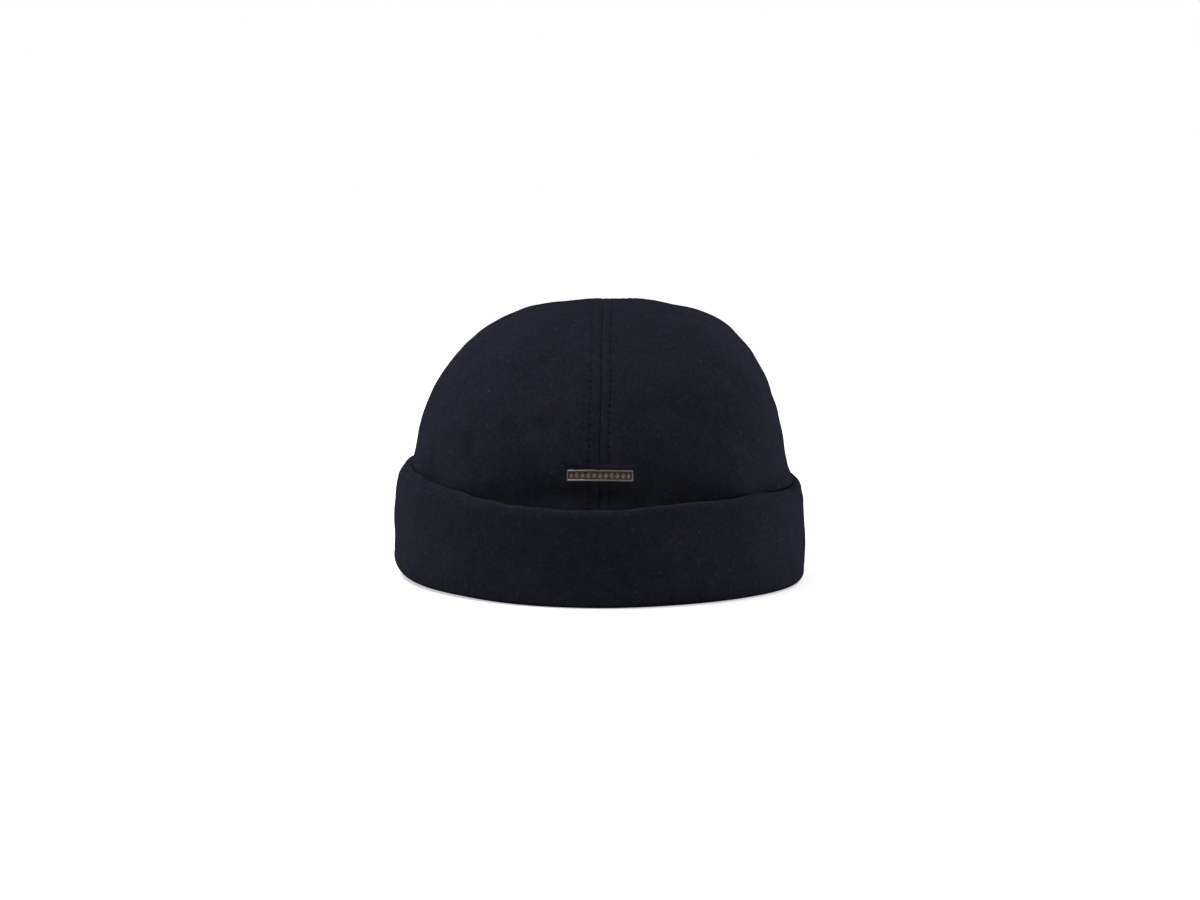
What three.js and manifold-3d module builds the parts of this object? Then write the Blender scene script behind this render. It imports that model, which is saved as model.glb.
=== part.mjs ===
// Docker beanie: a close wool hat with no brim and a turned-up cuff
//
// Four panels of felted wool cloth make a hollow, domed crown. A long strip of the same cloth is sewn
// round its bottom edge, turned up on the outside and doubled back at the rim, which makes the cuff.
// A small bent metal plate is pinned to the foot of the front seam by two prongs.
//
// Millimetres, +Z up. The front of the hat faces -Y, and the origin is on the floor under its middle.

import * as THREE from "three";
import { mergeVertices } from "three/addons/utils/BufferGeometryUtils.js";
import Module from "manifold-3d";

const wasm = await Module();
wasm.setup();

// Crown: a row for each height, with how far the outer face is from the middle on each side
const CROWN_ROWS = [
  { z: 0, left: 82.6, right: 82.6, front: 104, back: 104 },
  { z: 20, left: 82.6, right: 82.6, front: 104, back: 104 },
  { z: 40, left: 82.4, right: 82.6, front: 103.9, back: 104 },
  { z: 58, left: 78.8, right: 79.4, front: 101.7, back: 102.5 },
  { z: 74, left: 74.8, right: 75.8, front: 96.3, back: 98.3 },
  { z: 88, left: 68.1, right: 70.5, front: 87.3, back: 90.7 },
  { z: 99.5, left: 59.4, right: 62.9, front: 75.3, back: 79.8 },
  { z: 108.5, left: 47.8, right: 53.6, front: 60.5, back: 65.6 },
  { z: 114.7, left: 32.9, right: 41.3, front: 43.5, back: 48.5 },
  { z: 118.3, left: 14, right: 24, front: 24.5, back: 29 },
  { z: 119.8, left: 0, right: 0, front: 0, back: 0 },
];
const LAST_ROW = CROWN_ROWS.length - 1;
const CROWN_HEIGHT = CROWN_ROWS[LAST_ROW].z;
const EGG = 0.03; // the plan is wider by this share at the back, and narrower at the front
const CROWN_LEAN = 1; // how far the top has slumped towards +X

const CLOTH = 2; // thickness of the crown's cloth
const CROWN_BOTTOM = 2.3; // height of the crown's bottom edge, just above the strip that is sewn to it
const SEAM_GAP = 0.3; // between two panels
const GROOVE = { depth: 0.8, width: 2 }; // the cloth dips towards each seam
const ALLOWANCE = { width: 7.05, thickness: 1.8, start: 11.3 }; // seam allowance, pressed open inside

// Cuff: a row for each sixteenth of a turn, from the left side through the front. rim is the height of the
// turned edge, stand is how far the cuff's outer face is outside the crown's, and fold is the height over
// which the bottom fold rounds
const CUFF_ROWS = [
  { azimuth: -180, rim: 48, stand: 6.1, fold: 8.8 },
  { azimuth: -157.5, rim: 45.8, stand: 6.1, fold: 8.6 },
  { azimuth: -135, rim: 41.5, stand: 7, fold: 7.6 },
  { azimuth: -112.5, rim: 39.3, stand: 7.9, fold: 5 },
  { azimuth: -90, rim: 39, stand: 8, fold: 4.2 },
  { azimuth: -67.5, rim: 41.1, stand: 7.4, fold: 5.4 },
  { azimuth: -45, rim: 42.3, stand: 7.6, fold: 5 },
  { azimuth: -22.5, rim: 41.4, stand: 7.8, fold: 4.2 },
  { azimuth: 0, rim: 42.3, stand: 6.1, fold: 3.8 },
  { azimuth: 22.5, rim: 45.6, stand: 6, fold: 4 },
  { azimuth: 45, rim: 47.2, stand: 6.7, fold: 4.4 },
  { azimuth: 67.5, rim: 47, stand: 7.4, fold: 4.8 },
  { azimuth: 90, rim: 47.2, stand: 8, fold: 5.2 },
  { azimuth: 112.5, rim: 48.6, stand: 7.6, fold: 5.8 },
  { azimuth: 135, rim: 50, stand: 7.2, fold: 6.6 },
  { azimuth: 157.5, rim: 50, stand: 6.6, fold: 7.6 },
];
const STRIP = 1.8; // thickness of the strip's cloth
const RIM_RADIUS = 2.1; // outer radius of the fold at the rim, which leaves a little air between the layers
const CUFF_LEAN = 1.1; // how far the cuff's outer face comes in towards the rim
const LEAN_POWER = 2.5;
const HEM = { height: 9.5, radius: 2.1, gap: 0.4 }; // the strip's raw edge, turned up inside the crown
const FLOOR_FLAT = 1.2; // how far inside the crown's outer face the bottom fold may begin
const CUFF_SEAM = { azimuth: 90, depth: 0.7, width: 1.6 }; // the strip's ends meet at the back

// Plate: bent to the crown, with a raised frame round a row of small diamond points
const PLATE = { length: 26.4, height: 4.5, thickness: 1.2, floor: 0.7, frame: 0.5, z: 52.75, gap: 0.3 };
const PLATE_STEPS = 14;
const STUD = { count: 11, radius: 1.1, height: 0.45, sides: 4, sunk: 0.05 };
const PRONG = { fromMiddle: 10, thickness: 0.6, width: 2, tail: 4, behind: 0.5, root: 0.2 };
const SLIT = { clearance: 0.3, depth: 8 }; // what a prong passes through

// How finely each surface is divided
const CROWN_STEPS = [0.56, 0.58, 1.1, 1.8, 2.5, 3.2, 3.9, 4.6, 5.3, 6, 6.7, 7.4, 8.1, 8.8, 9.4, 9.8];
const SEAM_COLUMNS = [0, 0.8, 2, 6.9, 7.2, 14]; // distance of the first columns from each seam
const FIELD_COLUMNS = 7; // columns between those
const TIGHT_RADIUS = 20; // inside this radius the first columns close up towards the top
const CUFF_STATIONS = 56;
const FINE_STATIONS = [-1, -0.43, 0.43, 1]; // degrees either side of the cuff's seam
const WALL_STEPS = [1 / 3, 2 / 3];
const ARC_STEPS = { hem: 3, hemInside: 1, fold: 5, rim: 6, rimInside: 2 };

const wool = new THREE.MeshStandardMaterial({ color: "#20212b", roughness: 0.95, metalness: 0 });
const bronze = new THREE.MeshStandardMaterial({ color: "#8a776a", roughness: 0.45, metalness: 0.85 });

const QUARTERS = [
  { name: "front_left", x: -1, y: -1, side: "left", end: "front" },
  { name: "front_right", x: 1, y: -1, side: "right", end: "front" },
  { name: "back_left", x: -1, y: 1, side: "left", end: "back" },
  { name: "back_right", x: 1, y: 1, side: "right", end: "back" },
];

// Smooth curve through b and c, with a and d as the neighbours on each side (Catmull-Rom)
function smooth(a, b, c, d, t) {
  const linear = (c - a) * t;
  const square = (2 * a - 5 * b + 4 * c - d) * t * t;
  const cube = (3 * b - a - 3 * c + d) * t * t * t;
  return b + 0.5 * (linear + square + cube);
}

// One column of the crown's table at row number m. Past the top the heights mirror and the radii turn over.
function crownValue(key, m) {
  const row = Math.min(Math.floor(m), LAST_ROW - 1);
  const value = (index) => {
    if (index < 0) return 2 * CROWN_ROWS[0][key] - CROWN_ROWS[-index][key];
    if (index > LAST_ROW) return CROWN_ROWS[2 * LAST_ROW - index][key] * (key === "z" ? 1 : -1);
    return CROWN_ROWS[index][key];
  };
  return smooth(value(row - 1), value(row), value(row + 1), value(row + 2), m - row);
}

// The row number of the crown's table at a height
function rowAtHeight(z) {
  const row = CROWN_ROWS.findIndex((next) => next.z > z) - 1;
  return row + (z - CROWN_ROWS[row].z) / (CROWN_ROWS[row + 1].z - CROWN_ROWS[row].z);
}

// How far the crown has slumped towards +X at a height
function leanAt(z) {
  return CROWN_LEAN * (z / CROWN_HEIGHT) ** 2;
}

// A point on the crown's outer face, moved outwards by out. phi runs from the side seam, at 0, to the middle
// seam at 90 degrees, and halfGap is what the quarter leaves free beside each seam.
function crownPoint(quarter, phi, m, out = 0, halfGap = 0) {
  const z = crownValue("z", m);
  const across = Math.max(crownValue(quarter.side, m) + out - halfGap, 0);
  const along = Math.max(crownValue(quarter.end, m) + out - halfGap, 0);
  const egg = 1 + EGG * quarter.y * Math.sin(phi);
  const x = quarter.x * (halfGap + across * egg * Math.cos(phi)) + leanAt(z);
  const y = quarter.y * (halfGap + along * Math.sin(phi));
  return new THREE.Vector3(x, y, z);
}

// The outward direction of the crown's surface, from points a little to each side
function crownNormal(quarter, phi, m) {
  const step = 0.01;
  if (m > LAST_ROW - step) return new THREE.Vector3(0, 0, 1);
  const round = crownPoint(quarter, phi + step, m).sub(crownPoint(quarter, phi - step, m));
  const rise = crownPoint(quarter, phi, m + step).sub(crownPoint(quarter, phi, m - step));
  return round.cross(rise).multiplyScalar(quarter.x * quarter.y).normalize();
}

// The angles of a panel's columns at row m: close together beside both seams, even between them
function panelColumns(quarter, m) {
  const across = Math.max(crownValue(quarter.side, m) * (1 + EGG * quarter.y), TIGHT_RADIUS);
  const along = Math.max(crownValue(quarter.end, m), TIGHT_RADIUS);
  const first = SEAM_COLUMNS.map((distance) => distance / along);
  const last = SEAM_COLUMNS.map((distance) => Math.PI / 2 - distance / across).reverse();
  const from = first[first.length - 1];
  const step = (last[0] - from) / (FIELD_COLUMNS + 1);
  const field = Array.from({ length: FIELD_COLUMNS }, (_, k) => from + step * (k + 1));
  return [...first, ...field, ...last];
}

// The outer and inner point of a panel. Beside a seam the outer face dips, and inside the cloth is doubled by
// the seam allowance. The inner point is kept on its own side of both seams.
function panelPair(quarter, phi, m) {
  const halfGap = SEAM_GAP / 2;
  const face = crownPoint(quarter, phi, m, 0, halfGap);
  const normal = crownNormal(quarter, phi, m);
  const reach = Math.min(Math.abs(face.x - leanAt(face.z)), Math.abs(face.y)) - halfGap;
  const dip = GROOVE.depth * Math.max(1 - reach / GROOVE.width, 0) ** 2;
  const doubled = reach < ALLOWANCE.width && face.z > ALLOWANCE.start;
  const inner = face.clone().addScaledVector(normal, -(CLOTH + (doubled ? ALLOWANCE.thickness : 0)));
  const outer = face.addScaledVector(normal, -dip);
  for (const point of [outer, inner]) {
    const lean = leanAt(point.z);
    point.x = quarter.x * Math.max(quarter.x * (point.x - lean), halfGap) + lean;
    point.y = quarter.y * Math.max(quarter.y * point.y, halfGap);
  }
  return [outer, inner];
}

// A geometry from points and triangles, with equal points made one and the triangles this empties left out
function closedGeometry(points, triangles) {
  const loose = new THREE.BufferGeometry().setFromPoints(points);
  loose.setIndex(triangles.flat());
  const merged = mergeVertices(loose);
  const index = merged.index.array;
  const kept = [];
  for (let k = 0; k < index.length; k += 3) {
    const [a, b, c] = index.slice(k, k + 3);
    if (a !== b && b !== c && c !== a) kept.push(a, b, c);
  }
  merged.setIndex(kept);
  return merged;
}

// The two triangles of a four-sided face
function quad(a, b, c, d) {
  return [[a, b, c], [a, c, d]];
}

// The side faces between rings of count points each, and from the last ring to the first if closed
function sweepTriangles(rings, count, closed) {
  const triangles = [];
  for (let ring = 0; ring < rings - (closed ? 0 : 1); ring += 1) {
    const here = ring * count;
    const next = ((ring + 1) % rings) * count;
    for (let k = 0; k < count; k += 1) {
      const after = (k + 1) % count;
      triangles.push(...quad(here + k, here + after, next + after, next + k));
    }
  }
  return triangles;
}

// A crown panel: a ring of points at each row, which goes along the outer face and back along the inner one
function panelGeometry(quarter) {
  const rows = [rowAtHeight(CROWN_BOTTOM), ...CROWN_STEPS, LAST_ROW];
  const rings = rows.map((m) => {
    const pairs = panelColumns(quarter, m).map((phi) => panelPair(quarter, phi, m));
    return [...pairs.map((pair) => pair[0]), ...pairs.map((pair) => pair[1]).reverse()];
  });
  const count = rings[0].length;
  const triangles = sweepTriangles(rings.length, count, false);
  const top = (rings.length - 1) * count;
  for (let k = 0; k < count / 2 - 1; k += 1) {
    const back = count - 1 - k;
    triangles.push(...quad(k + 1, k, back, back - 1));
    triangles.push(...quad(top + k, top + k + 1, top + back - 1, top + back));
  }
  const mirrored = quarter.x * quarter.y < 0;
  return closedGeometry(rings.flat(), mirrored ? triangles.map((t) => t.toReversed()) : triangles);
}

// One column of the cuff's table at an azimuth in degrees, joined smoothly all the way round
function cuffValue(key, azimuth) {
  const count = CUFF_ROWS.length;
  const turn = ((azimuth - CUFF_ROWS[0].azimuth) / 360) * count;
  const row = Math.floor(turn);
  const value = (index) => CUFF_ROWS[(index + count) % count][key];
  return smooth(value(row - 1), value(row), value(row + 1), value(row + 2), turn - row);
}

// Points on an arc: centre and radii in s and z, from one angle to another
function arc(centre, radii, from, to, steps) {
  return Array.from({ length: steps + 1 }, (_, k) => {
    const angle = from + ((to - from) * k) / steps;
    return [centre[0] + radii[0] * Math.cos(angle), centre[1] + radii[1] * Math.sin(angle)];
  });
}

// The cuff's section as [distance outside the crown's outer face, height]. The side that shows runs from the
// raw edge inside the crown, round the bottom fold, up, over the rim and down inside the cuff.
function cuffSection(rim, stand, fold) {
  const half = Math.PI / 2;
  const width = Math.min(fold, stand + FLOOR_FLAT);
  const wall = (u, inwards) => [
    stand - CUFF_LEAN * u ** LEAN_POWER - inwards,
    fold + (rim - RIM_RADIUS - fold) * u,
  ];
  const down = WALL_STEPS.toReversed();
  const hemFace = -CLOTH - HEM.gap - STRIP;
  const hem = [hemFace + HEM.radius, HEM.radius];
  const bottom = [stand - width, fold];
  const top = wall(1, RIM_RADIUS);
  const rimInside = RIM_RADIUS - STRIP;
  const hemInside = HEM.radius - STRIP;
  return [
    [hemFace, HEM.height],
    ...arc(hem, [HEM.radius, HEM.radius], 2 * half, 3 * half, ARC_STEPS.hem),
    ...arc(bottom, [width, fold], -half, 0, ARC_STEPS.fold),
    ...WALL_STEPS.map((u) => wall(u, 0)),
    ...arc(top, [RIM_RADIUS, RIM_RADIUS], 0, 2 * half, ARC_STEPS.rim),
    ...[...down, 0].map((u) => wall(u, 2 * RIM_RADIUS)),
    ...[0, ...WALL_STEPS].map((u) => wall(u, 2 * RIM_RADIUS - STRIP)),
    ...arc(top, [rimInside, rimInside], 2 * half, 0, ARC_STEPS.rimInside),
    ...down.map((u) => wall(u, STRIP)),
    ...arc(bottom, [width - STRIP, fold - STRIP], 0, -half, ARC_STEPS.fold),
    ...arc(hem, [hemInside, hemInside], 3 * half, 2 * half, ARC_STEPS.hemInside),
    [hemFace + STRIP, HEM.height],
  ];
}

// The cuff: its section carried all the way round the crown, drawn in a little where its ends are joined
function cuffGeometry() {
  const even = Array.from({ length: CUFF_STATIONS }, (_, k) => -180 + (360 * k) / CUFF_STATIONS);
  const fine = FINE_STATIONS.map((degrees) => CUFF_SEAM.azimuth + degrees);
  const stations = [...even, ...fine].sort((a, b) => a - b);
  const rings = stations.map((azimuth) => {
    const theta = THREE.MathUtils.degToRad(azimuth);
    const sides = { x: Math.cos(theta) < 0 ? -1 : 1, y: Math.sin(theta) < 0 ? -1 : 1 };
    const quarter = QUARTERS.find((q) => q.x === sides.x && q.y === sides.y);
    const phi = Math.atan2(Math.abs(Math.sin(theta)), Math.abs(Math.cos(theta)));
    const offSeam = Math.abs(theta - THREE.MathUtils.degToRad(CUFF_SEAM.azimuth)) * CROWN_ROWS[0].right;
    const dip = CUFF_SEAM.depth * Math.max(1 - offSeam / CUFF_SEAM.width, 0) ** 2;
    const stand = cuffValue("stand", azimuth) - dip;
    const section = cuffSection(cuffValue("rim", azimuth), stand, cuffValue("fold", azimuth));
    return section.map(([s, z]) => crownPoint(quarter, phi, rowAtHeight(z), s).setZ(z));
  });
  const triangles = sweepTriangles(rings.length, rings[0].length, true);
  return closedGeometry(rings.flat(), triangles.map((t) => t.toReversed()));
}

// A closed geometry as a solid that can be joined and cut
function toSolid(geometry) {
  const bare = geometry.clone();
  bare.deleteAttribute("normal");
  bare.deleteAttribute("uv");
  const merged = mergeVertices(bare);
  const vertProperties = Float32Array.from(merged.attributes.position.array);
  const triVerts = Uint32Array.from(merged.index.array);
  return new wasm.Manifold(new wasm.Mesh({ numProp: 3, vertProperties, triVerts }));
}

function toGeometry(solid) {
  const { vertProperties, triVerts } = solid.getMesh();
  const geometry = new THREE.BufferGeometry();
  geometry.setAttribute("position", new THREE.BufferAttribute(vertProperties, 3));
  geometry.setIndex(new THREE.BufferAttribute(triVerts, 1));
  return geometry;
}

// Where the plate sits: on the front seam, square to the crown there, and bent to the radius of its curve
const plateRow = rowAtHeight(PLATE.z);
const plateNormal = crownNormal(QUARTERS[0], Math.PI / 2, plateRow);
const plateTilt = Math.atan2(plateNormal.z, -plateNormal.y);
const plateAcross = crownValue("left", plateRow) * (1 - EGG);
const plateBend = plateAcross ** 2 / crownValue("front", plateRow);
const platePlace = new THREE.Object3D();
platePlace.position.copy(crownPoint(QUARTERS[0], Math.PI / 2, plateRow));
platePlace.position.addScaledVector(plateNormal, PLATE.gap);
platePlace.rotation.x = Math.PI / 2 - plateTilt;
platePlace.updateMatrix();

// A box or cone that was drawn flat, with x along the plate, y up and z outwards, bent round the crown
function bend(geometry) {
  const position = geometry.attributes.position;
  for (let k = 0; k < position.count; k += 1) {
    const angle = position.getX(k) / plateBend;
    const radius = plateBend + position.getZ(k);
    position.setX(k, radius * Math.sin(angle));
    position.setZ(k, radius * Math.cos(angle) - plateBend);
  }
  return geometry;
}

function bentBox(length, height, depth, x, y, z, steps = 1) {
  return toSolid(bend(new THREE.BoxGeometry(length, height, depth, steps, 1, 1).translate(x, y, z)));
}

// The plate's floor, its four frame bars and the row of points, with a prong near each end
function plateGeometry() {
  const { length, height, thickness, floor, frame } = PLATE;
  const barY = (height - frame) / 2;
  const barX = (length - frame) / 2;
  let plate = bentBox(length, height, floor, 0, 0, floor / 2, PLATE_STEPS);
  for (const way of [-1, 1]) {
    plate = plate.add(bentBox(length, frame, thickness, 0, way * barY, thickness / 2, PLATE_STEPS));
    plate = plate.add(bentBox(frame, height, thickness, way * barX, 0, thickness / 2));
    plate = plate.add(prongSolid(way));
  }
  const pitch = (length - 2 * frame) / STUD.count;
  for (let k = 0; k < STUD.count; k += 1) {
    const stud = new THREE.ConeGeometry(STUD.radius, STUD.height, STUD.sides).rotateX(Math.PI / 2);
    const x = (k - (STUD.count - 1) / 2) * pitch;
    plate = plate.add(toSolid(bend(stud.translate(x, 0, floor + STUD.height / 2 - STUD.sunk))));
  }
  return toGeometry(plate);
}

// A flat prong from the back of the plate through the cloth, with its tail bent outwards inside the crown
function prongSolid(way) {
  const depth = PLATE.gap + CLOTH + PRONG.behind + PRONG.thickness;
  const legZ = (PRONG.root - depth) / 2;
  const leg = bentBox(PRONG.thickness, PRONG.width, depth + PRONG.root, way * PRONG.fromMiddle, 0, legZ);
  const tailX = way * (PRONG.fromMiddle + (PRONG.tail - PRONG.thickness) / 2);
  const tail = bentBox(PRONG.tail, PRONG.width, PRONG.thickness, tailX, 0, PRONG.thickness / 2 - depth, 2);
  return leg.add(tail);
}

// The slit that a prong passes through, cut with the same clearance all round
function slitSolid(way) {
  const length = PRONG.thickness + 2 * SLIT.clearance;
  const height = PRONG.width + 2 * SLIT.clearance;
  const slit = new THREE.BoxGeometry(length, height, SLIT.depth).translate(way * PRONG.fromMiddle, 0, 0);
  return toSolid(bend(slit).applyMatrix4(platePlace.matrix));
}

function namedMesh(name, geometry, material) {
  geometry.computeVertexNormals();
  const mesh = new THREE.Mesh(geometry, material);
  mesh.name = name;
  return mesh;
}

const hat = new THREE.Group();
for (const quarter of QUARTERS) {
  let panel = panelGeometry(quarter);
  if (quarter.end === "front") panel = toGeometry(toSolid(panel).subtract(slitSolid(quarter.x)));
  hat.add(namedMesh(`crown_${quarter.name}`, panel, wool));
}
hat.add(namedMesh("cuff", cuffGeometry(), wool));

const plate = namedMesh("front_plate", plateGeometry(), bronze);
plate.position.copy(platePlace.position);
plate.rotation.copy(platePlace.rotation);
hat.add(plate);

export default hat;
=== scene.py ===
# %% [markdown]
# # A docker beanie
#
# The hat is made of navy wool cloth that was felted until its weave no longer shows. Four panels are sewn
# into a dome, and a long strip is sewn round the dome's bottom edge and turned up on the outside as a cuff.
# A small bronze-coloured plate is pinned to the foot of the front seam.
#
# The script loads the hat's solids first. They fix every size and place, and each surface made here stands
# for one of them. Lengths in the tables are millimetres, and they become metres when a mesh is made.

# %% The frame
import bpy
import math
from collections import namedtuple
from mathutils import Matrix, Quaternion, Vector
import numpy as np


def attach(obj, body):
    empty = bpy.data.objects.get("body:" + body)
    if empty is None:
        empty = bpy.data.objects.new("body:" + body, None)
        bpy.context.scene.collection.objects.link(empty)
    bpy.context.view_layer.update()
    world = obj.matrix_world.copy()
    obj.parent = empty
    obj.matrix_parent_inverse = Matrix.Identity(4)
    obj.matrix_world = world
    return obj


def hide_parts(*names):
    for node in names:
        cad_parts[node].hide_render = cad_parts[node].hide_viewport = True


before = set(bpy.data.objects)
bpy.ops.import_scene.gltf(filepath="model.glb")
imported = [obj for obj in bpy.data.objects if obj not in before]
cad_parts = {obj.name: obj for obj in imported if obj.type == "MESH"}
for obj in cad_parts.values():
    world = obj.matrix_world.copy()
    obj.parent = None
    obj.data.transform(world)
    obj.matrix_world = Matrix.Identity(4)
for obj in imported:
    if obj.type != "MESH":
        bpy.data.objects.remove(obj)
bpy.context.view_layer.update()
MM = 0.001

# %% [markdown]
# ## The form of the hat
#
# A hat has no straight line that could be measured once and for all, so its form is kept in two short
# tables. One has a row for each height of the crown, with the distance from the middle to the cloth at the
# left, right, front and back. The other has a row for each sixteenth of a turn round the cuff, with the
# height of its rim, how far it stands off the crown and how tall its bottom fold is. A smooth curve through
# each column fills in what lies between. The photograph gives the left, right and rim columns, and the
# shape of a head gives the rest.

# %% The tables
CROWN_ROWS = np.array([
    (0.0, 82.6, 82.6, 104.0, 104.0),
    (20.0, 82.6, 82.6, 104.0, 104.0),
    (40.0, 82.4, 82.6, 103.9, 104.0),
    (58.0, 78.8, 79.4, 101.7, 102.5),
    (74.0, 74.8, 75.8, 96.3, 98.3),
    (88.0, 68.1, 70.5, 87.3, 90.7),
    (99.5, 59.4, 62.9, 75.3, 79.8),
    (108.5, 47.8, 53.6, 60.5, 65.6),
    (114.7, 32.9, 41.3, 43.5, 48.5),
    (118.3, 14.0, 24.0, 24.5, 29.0),
    (119.8, 0.0, 0.0, 0.0, 0.0),
], dtype=[(name, float) for name in ("z", "left", "right", "front", "back")])
LAST_ROW = len(CROWN_ROWS) - 1

CUFF_ROWS = np.array([
    (-180.0, 48.2, 6.2, 9.6),
    (-157.5, 46.4, 6.1, 9.4),
    (-135.0, 42.8, 7.0, 8.4),
    (-112.5, 40.8, 7.9, 5.0),
    (-90.0, 39.7, 8.0, 4.2),
    (-67.5, 41.8, 7.4, 5.9),
    (-45.0, 42.3, 7.6, 5.5),
    (-22.5, 41.4, 7.9, 3.8),
    (0.0, 42.2, 6.5, 3.8),
    (22.5, 45.5, 6.1, 4.0),
    (45.0, 47.4, 6.7, 4.4),
    (67.5, 47.0, 7.4, 4.8),
    (90.0, 47.2, 8.0, 5.2),
    (112.5, 48.6, 7.6, 5.8),
    (135.0, 50.0, 7.2, 6.6),
    (157.5, 49.9, 6.6, 7.6),
], dtype=[(name, float) for name in ("azimuth", "rim", "stand", "fold")])
print("crown", CROWN_ROWS["z"][-1], "mm high, cuff", CUFF_ROWS["rim"].min(), "to", CUFF_ROWS["rim"].max(), "mm")

# %% Curves through the tables
def through_rows(values, position):
    """A smooth curve through a table's column. Between two rows it is the cubic that passes each row in the
    direction of the line between that row's neighbours (Catmull-Rom). values has one row more than the table
    before its start and one or more after its end, and position 0 is the table's first row."""
    k = np.clip(np.floor(position).astype(int), 0, len(values) - 4)
    t = position - k
    a, b, c, d = (values[k + step] for step in range(4))
    return b + 0.5 * ((c - a) * t + (2 * a - 5 * b + 4 * c - d) * t**2 + (3 * b - a - 3 * c + d) * t**3)


def crown_value(name, m):
    """One column of the crown's table at row number m. Past the top, heights mirror and radii turn over."""
    column = CROWN_ROWS[name]
    beyond = column[-2] if name == "z" else -column[-2]
    return through_rows(np.concatenate([[2 * column[0] - column[1]], column, [beyond]]), m)


def cuff_value(name, azimuth):
    """One column of the cuff's table at an azimuth in degrees, joined smoothly all the way round."""
    column = CUFF_ROWS[name]
    turn = (np.asarray(azimuth) + 180.0) / 360.0 % 1.0 * len(column)
    return through_rows(np.concatenate([column[-1:], column, column[:2]]), turn)


def row_at_height(z):
    """The row number of the crown's table at a height, straight between rows."""
    return np.interp(z, CROWN_ROWS["z"], np.arange(len(CROWN_ROWS)))


def ease(value, start, end):
    """0 before start and 1 after end, with a smooth step between them."""
    t = np.clip((value - start) / (end - start), 0, 1)
    return t * t * (3 - 2 * t)


def bell(value, middle, width):
    """A bell curve: 1 at the middle, and falling off to 0 on both sides within about twice the width."""
    return np.exp(-(((value - middle) / width) ** 2))


def unit(vectors):
    """The same directions, with a length of 1."""
    return vectors / np.linalg.norm(vectors, axis=-1, keepdims=True)


def path_lengths(points):
    """How far each point of a row lies from the first one along the row: the sum of the steps up to it."""
    steps = np.linalg.norm(np.diff(points, axis=-2), axis=-1)
    return np.concatenate([np.zeros_like(steps[..., :1]), np.cumsum(steps, axis=-1)], axis=-1)


# %% The plain crown
EGG = 0.03          # the plan is wider by this share at the back, and narrower at the front
CROWN_LEAN = 1.0    # how far the top has slumped towards +X
WANDER = ((37.0, 0.14), (14.0, 0.04))    # length and size of the waves that a hand-guided seam makes
WANDER_FROM = (30.0, 45.0)               # they grow between these heights


def lean_at(z):
    """How far the middle seams lie to the side at a height: the slump grows with the square of the height,
    and small sine waves are added, because a seam is guided by hand."""
    wander = sum(size * np.sin(2 * np.pi * z / length + length) for length, size in WANDER)
    return CROWN_LEAN * (z / CROWN_ROWS["z"][-1]) ** 2 + wander * ease(z, *WANDER_FROM)


Quarter = namedtuple("Quarter", "name x y side end")
QUARTERS = [
    Quarter("front_left", -1, -1, "left", "front"),
    Quarter("front_right", 1, -1, "right", "front"),
    Quarter("back_left", -1, 1, "left", "back"),
    Quarter("back_right", 1, 1, "right", "back"),
]


def crown_surface(quarter, phi, m):
    """Points on the plain crown. Each level is a quarter of an ellipse: phi goes from the side seam, at 0, to
    the middle seam at a quarter turn, and the table gives the two half axes."""
    z = crown_value("z", m)
    across = np.maximum(crown_value(quarter.side, m), 0)
    along = np.maximum(crown_value(quarter.end, m), 0)
    egg = 1 + EGG * quarter.y * np.sin(phi)
    x = quarter.x * across * egg * np.cos(phi) + lean_at(z)
    y = quarter.y * along * np.sin(phi)
    return np.stack(np.broadcast_arrays(x, y, z), axis=-1)


def crown_normal(quarter, phi, m):
    """The outward direction of the crown's surface: the cross product of a small step round it and a small
    step up it. At the very top it is straight up."""
    step = 0.01
    low = np.minimum(m, LAST_ROW - 2 * step)
    round_it = crown_surface(quarter, phi + step, low) - crown_surface(quarter, phi - step, low)
    up_it = crown_surface(quarter, phi, low + step) - crown_surface(quarter, phi, low - step)
    return unit(np.cross(round_it, up_it) * quarter.x * quarter.y)


print("the top of the crown lies at", crown_surface(QUARTERS[0], 0.0, LAST_ROW).round(1))

# %% [markdown]
# ## Meshes from grids
#
# Every piece is a surface that a formula gives on a grid of two parameters. A grid whose rows are closed
# rings suits cloth that has a thickness: a ring runs along the outer face and comes back along the inner
# one. One helper lists a grid's faces, and another puts points and faces into a mesh. That helper also
# measures the volume inside, because it is negative where the faces point inwards, and turns them if so.

# %% Faces between points
def ring_faces(rings, count, closed=False):
    """Four-sided faces between rings of count points each. If closed, the last ring joins the first."""
    here = np.arange(rings if closed else rings - 1)[:, None] * count
    there = (here + count) % (rings * count)
    k = np.arange(count)[None, :]
    after = (k + 1) % count
    return np.stack([here + k, here + after, there + after, there + k], axis=-1).reshape(-1, 4)


def fan_faces(ring, tip):
    """Triangles between neighbours in a row of points and a tip."""
    return np.stack([ring[:-1], ring[1:], np.full(len(ring) - 1, tip)], axis=-1)


def end_fans(rings, count):
    """Fans that close a tube at both ends, onto two points listed after the points of its rings."""
    loop = np.append(np.arange(count), 0)
    near = fan_faces(loop, rings * count)[:, [1, 0, 2]]
    return np.concatenate([near, fan_faces((rings - 1) * count + loop, rings * count + 1)])


def strip_across(columns):
    """Four-sided faces from a ring's first half of points across to its second half."""
    k = np.arange(columns - 1)
    return np.stack([k, 2 * columns - 1 - k, 2 * columns - 2 - k, k + 1], axis=-1)


def volume_of(points, triangles):
    """The volume inside closed faces: the sum of the tetrahedra from the origin to each triangle."""
    a, b, c = (points[triangles[:, corner]] for corner in range(3))
    return np.einsum("ij,ij->i", a, np.cross(b, c)).sum() / 6


# %% From points to a piece
SHARP_ANGLE = math.radians(50)


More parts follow.
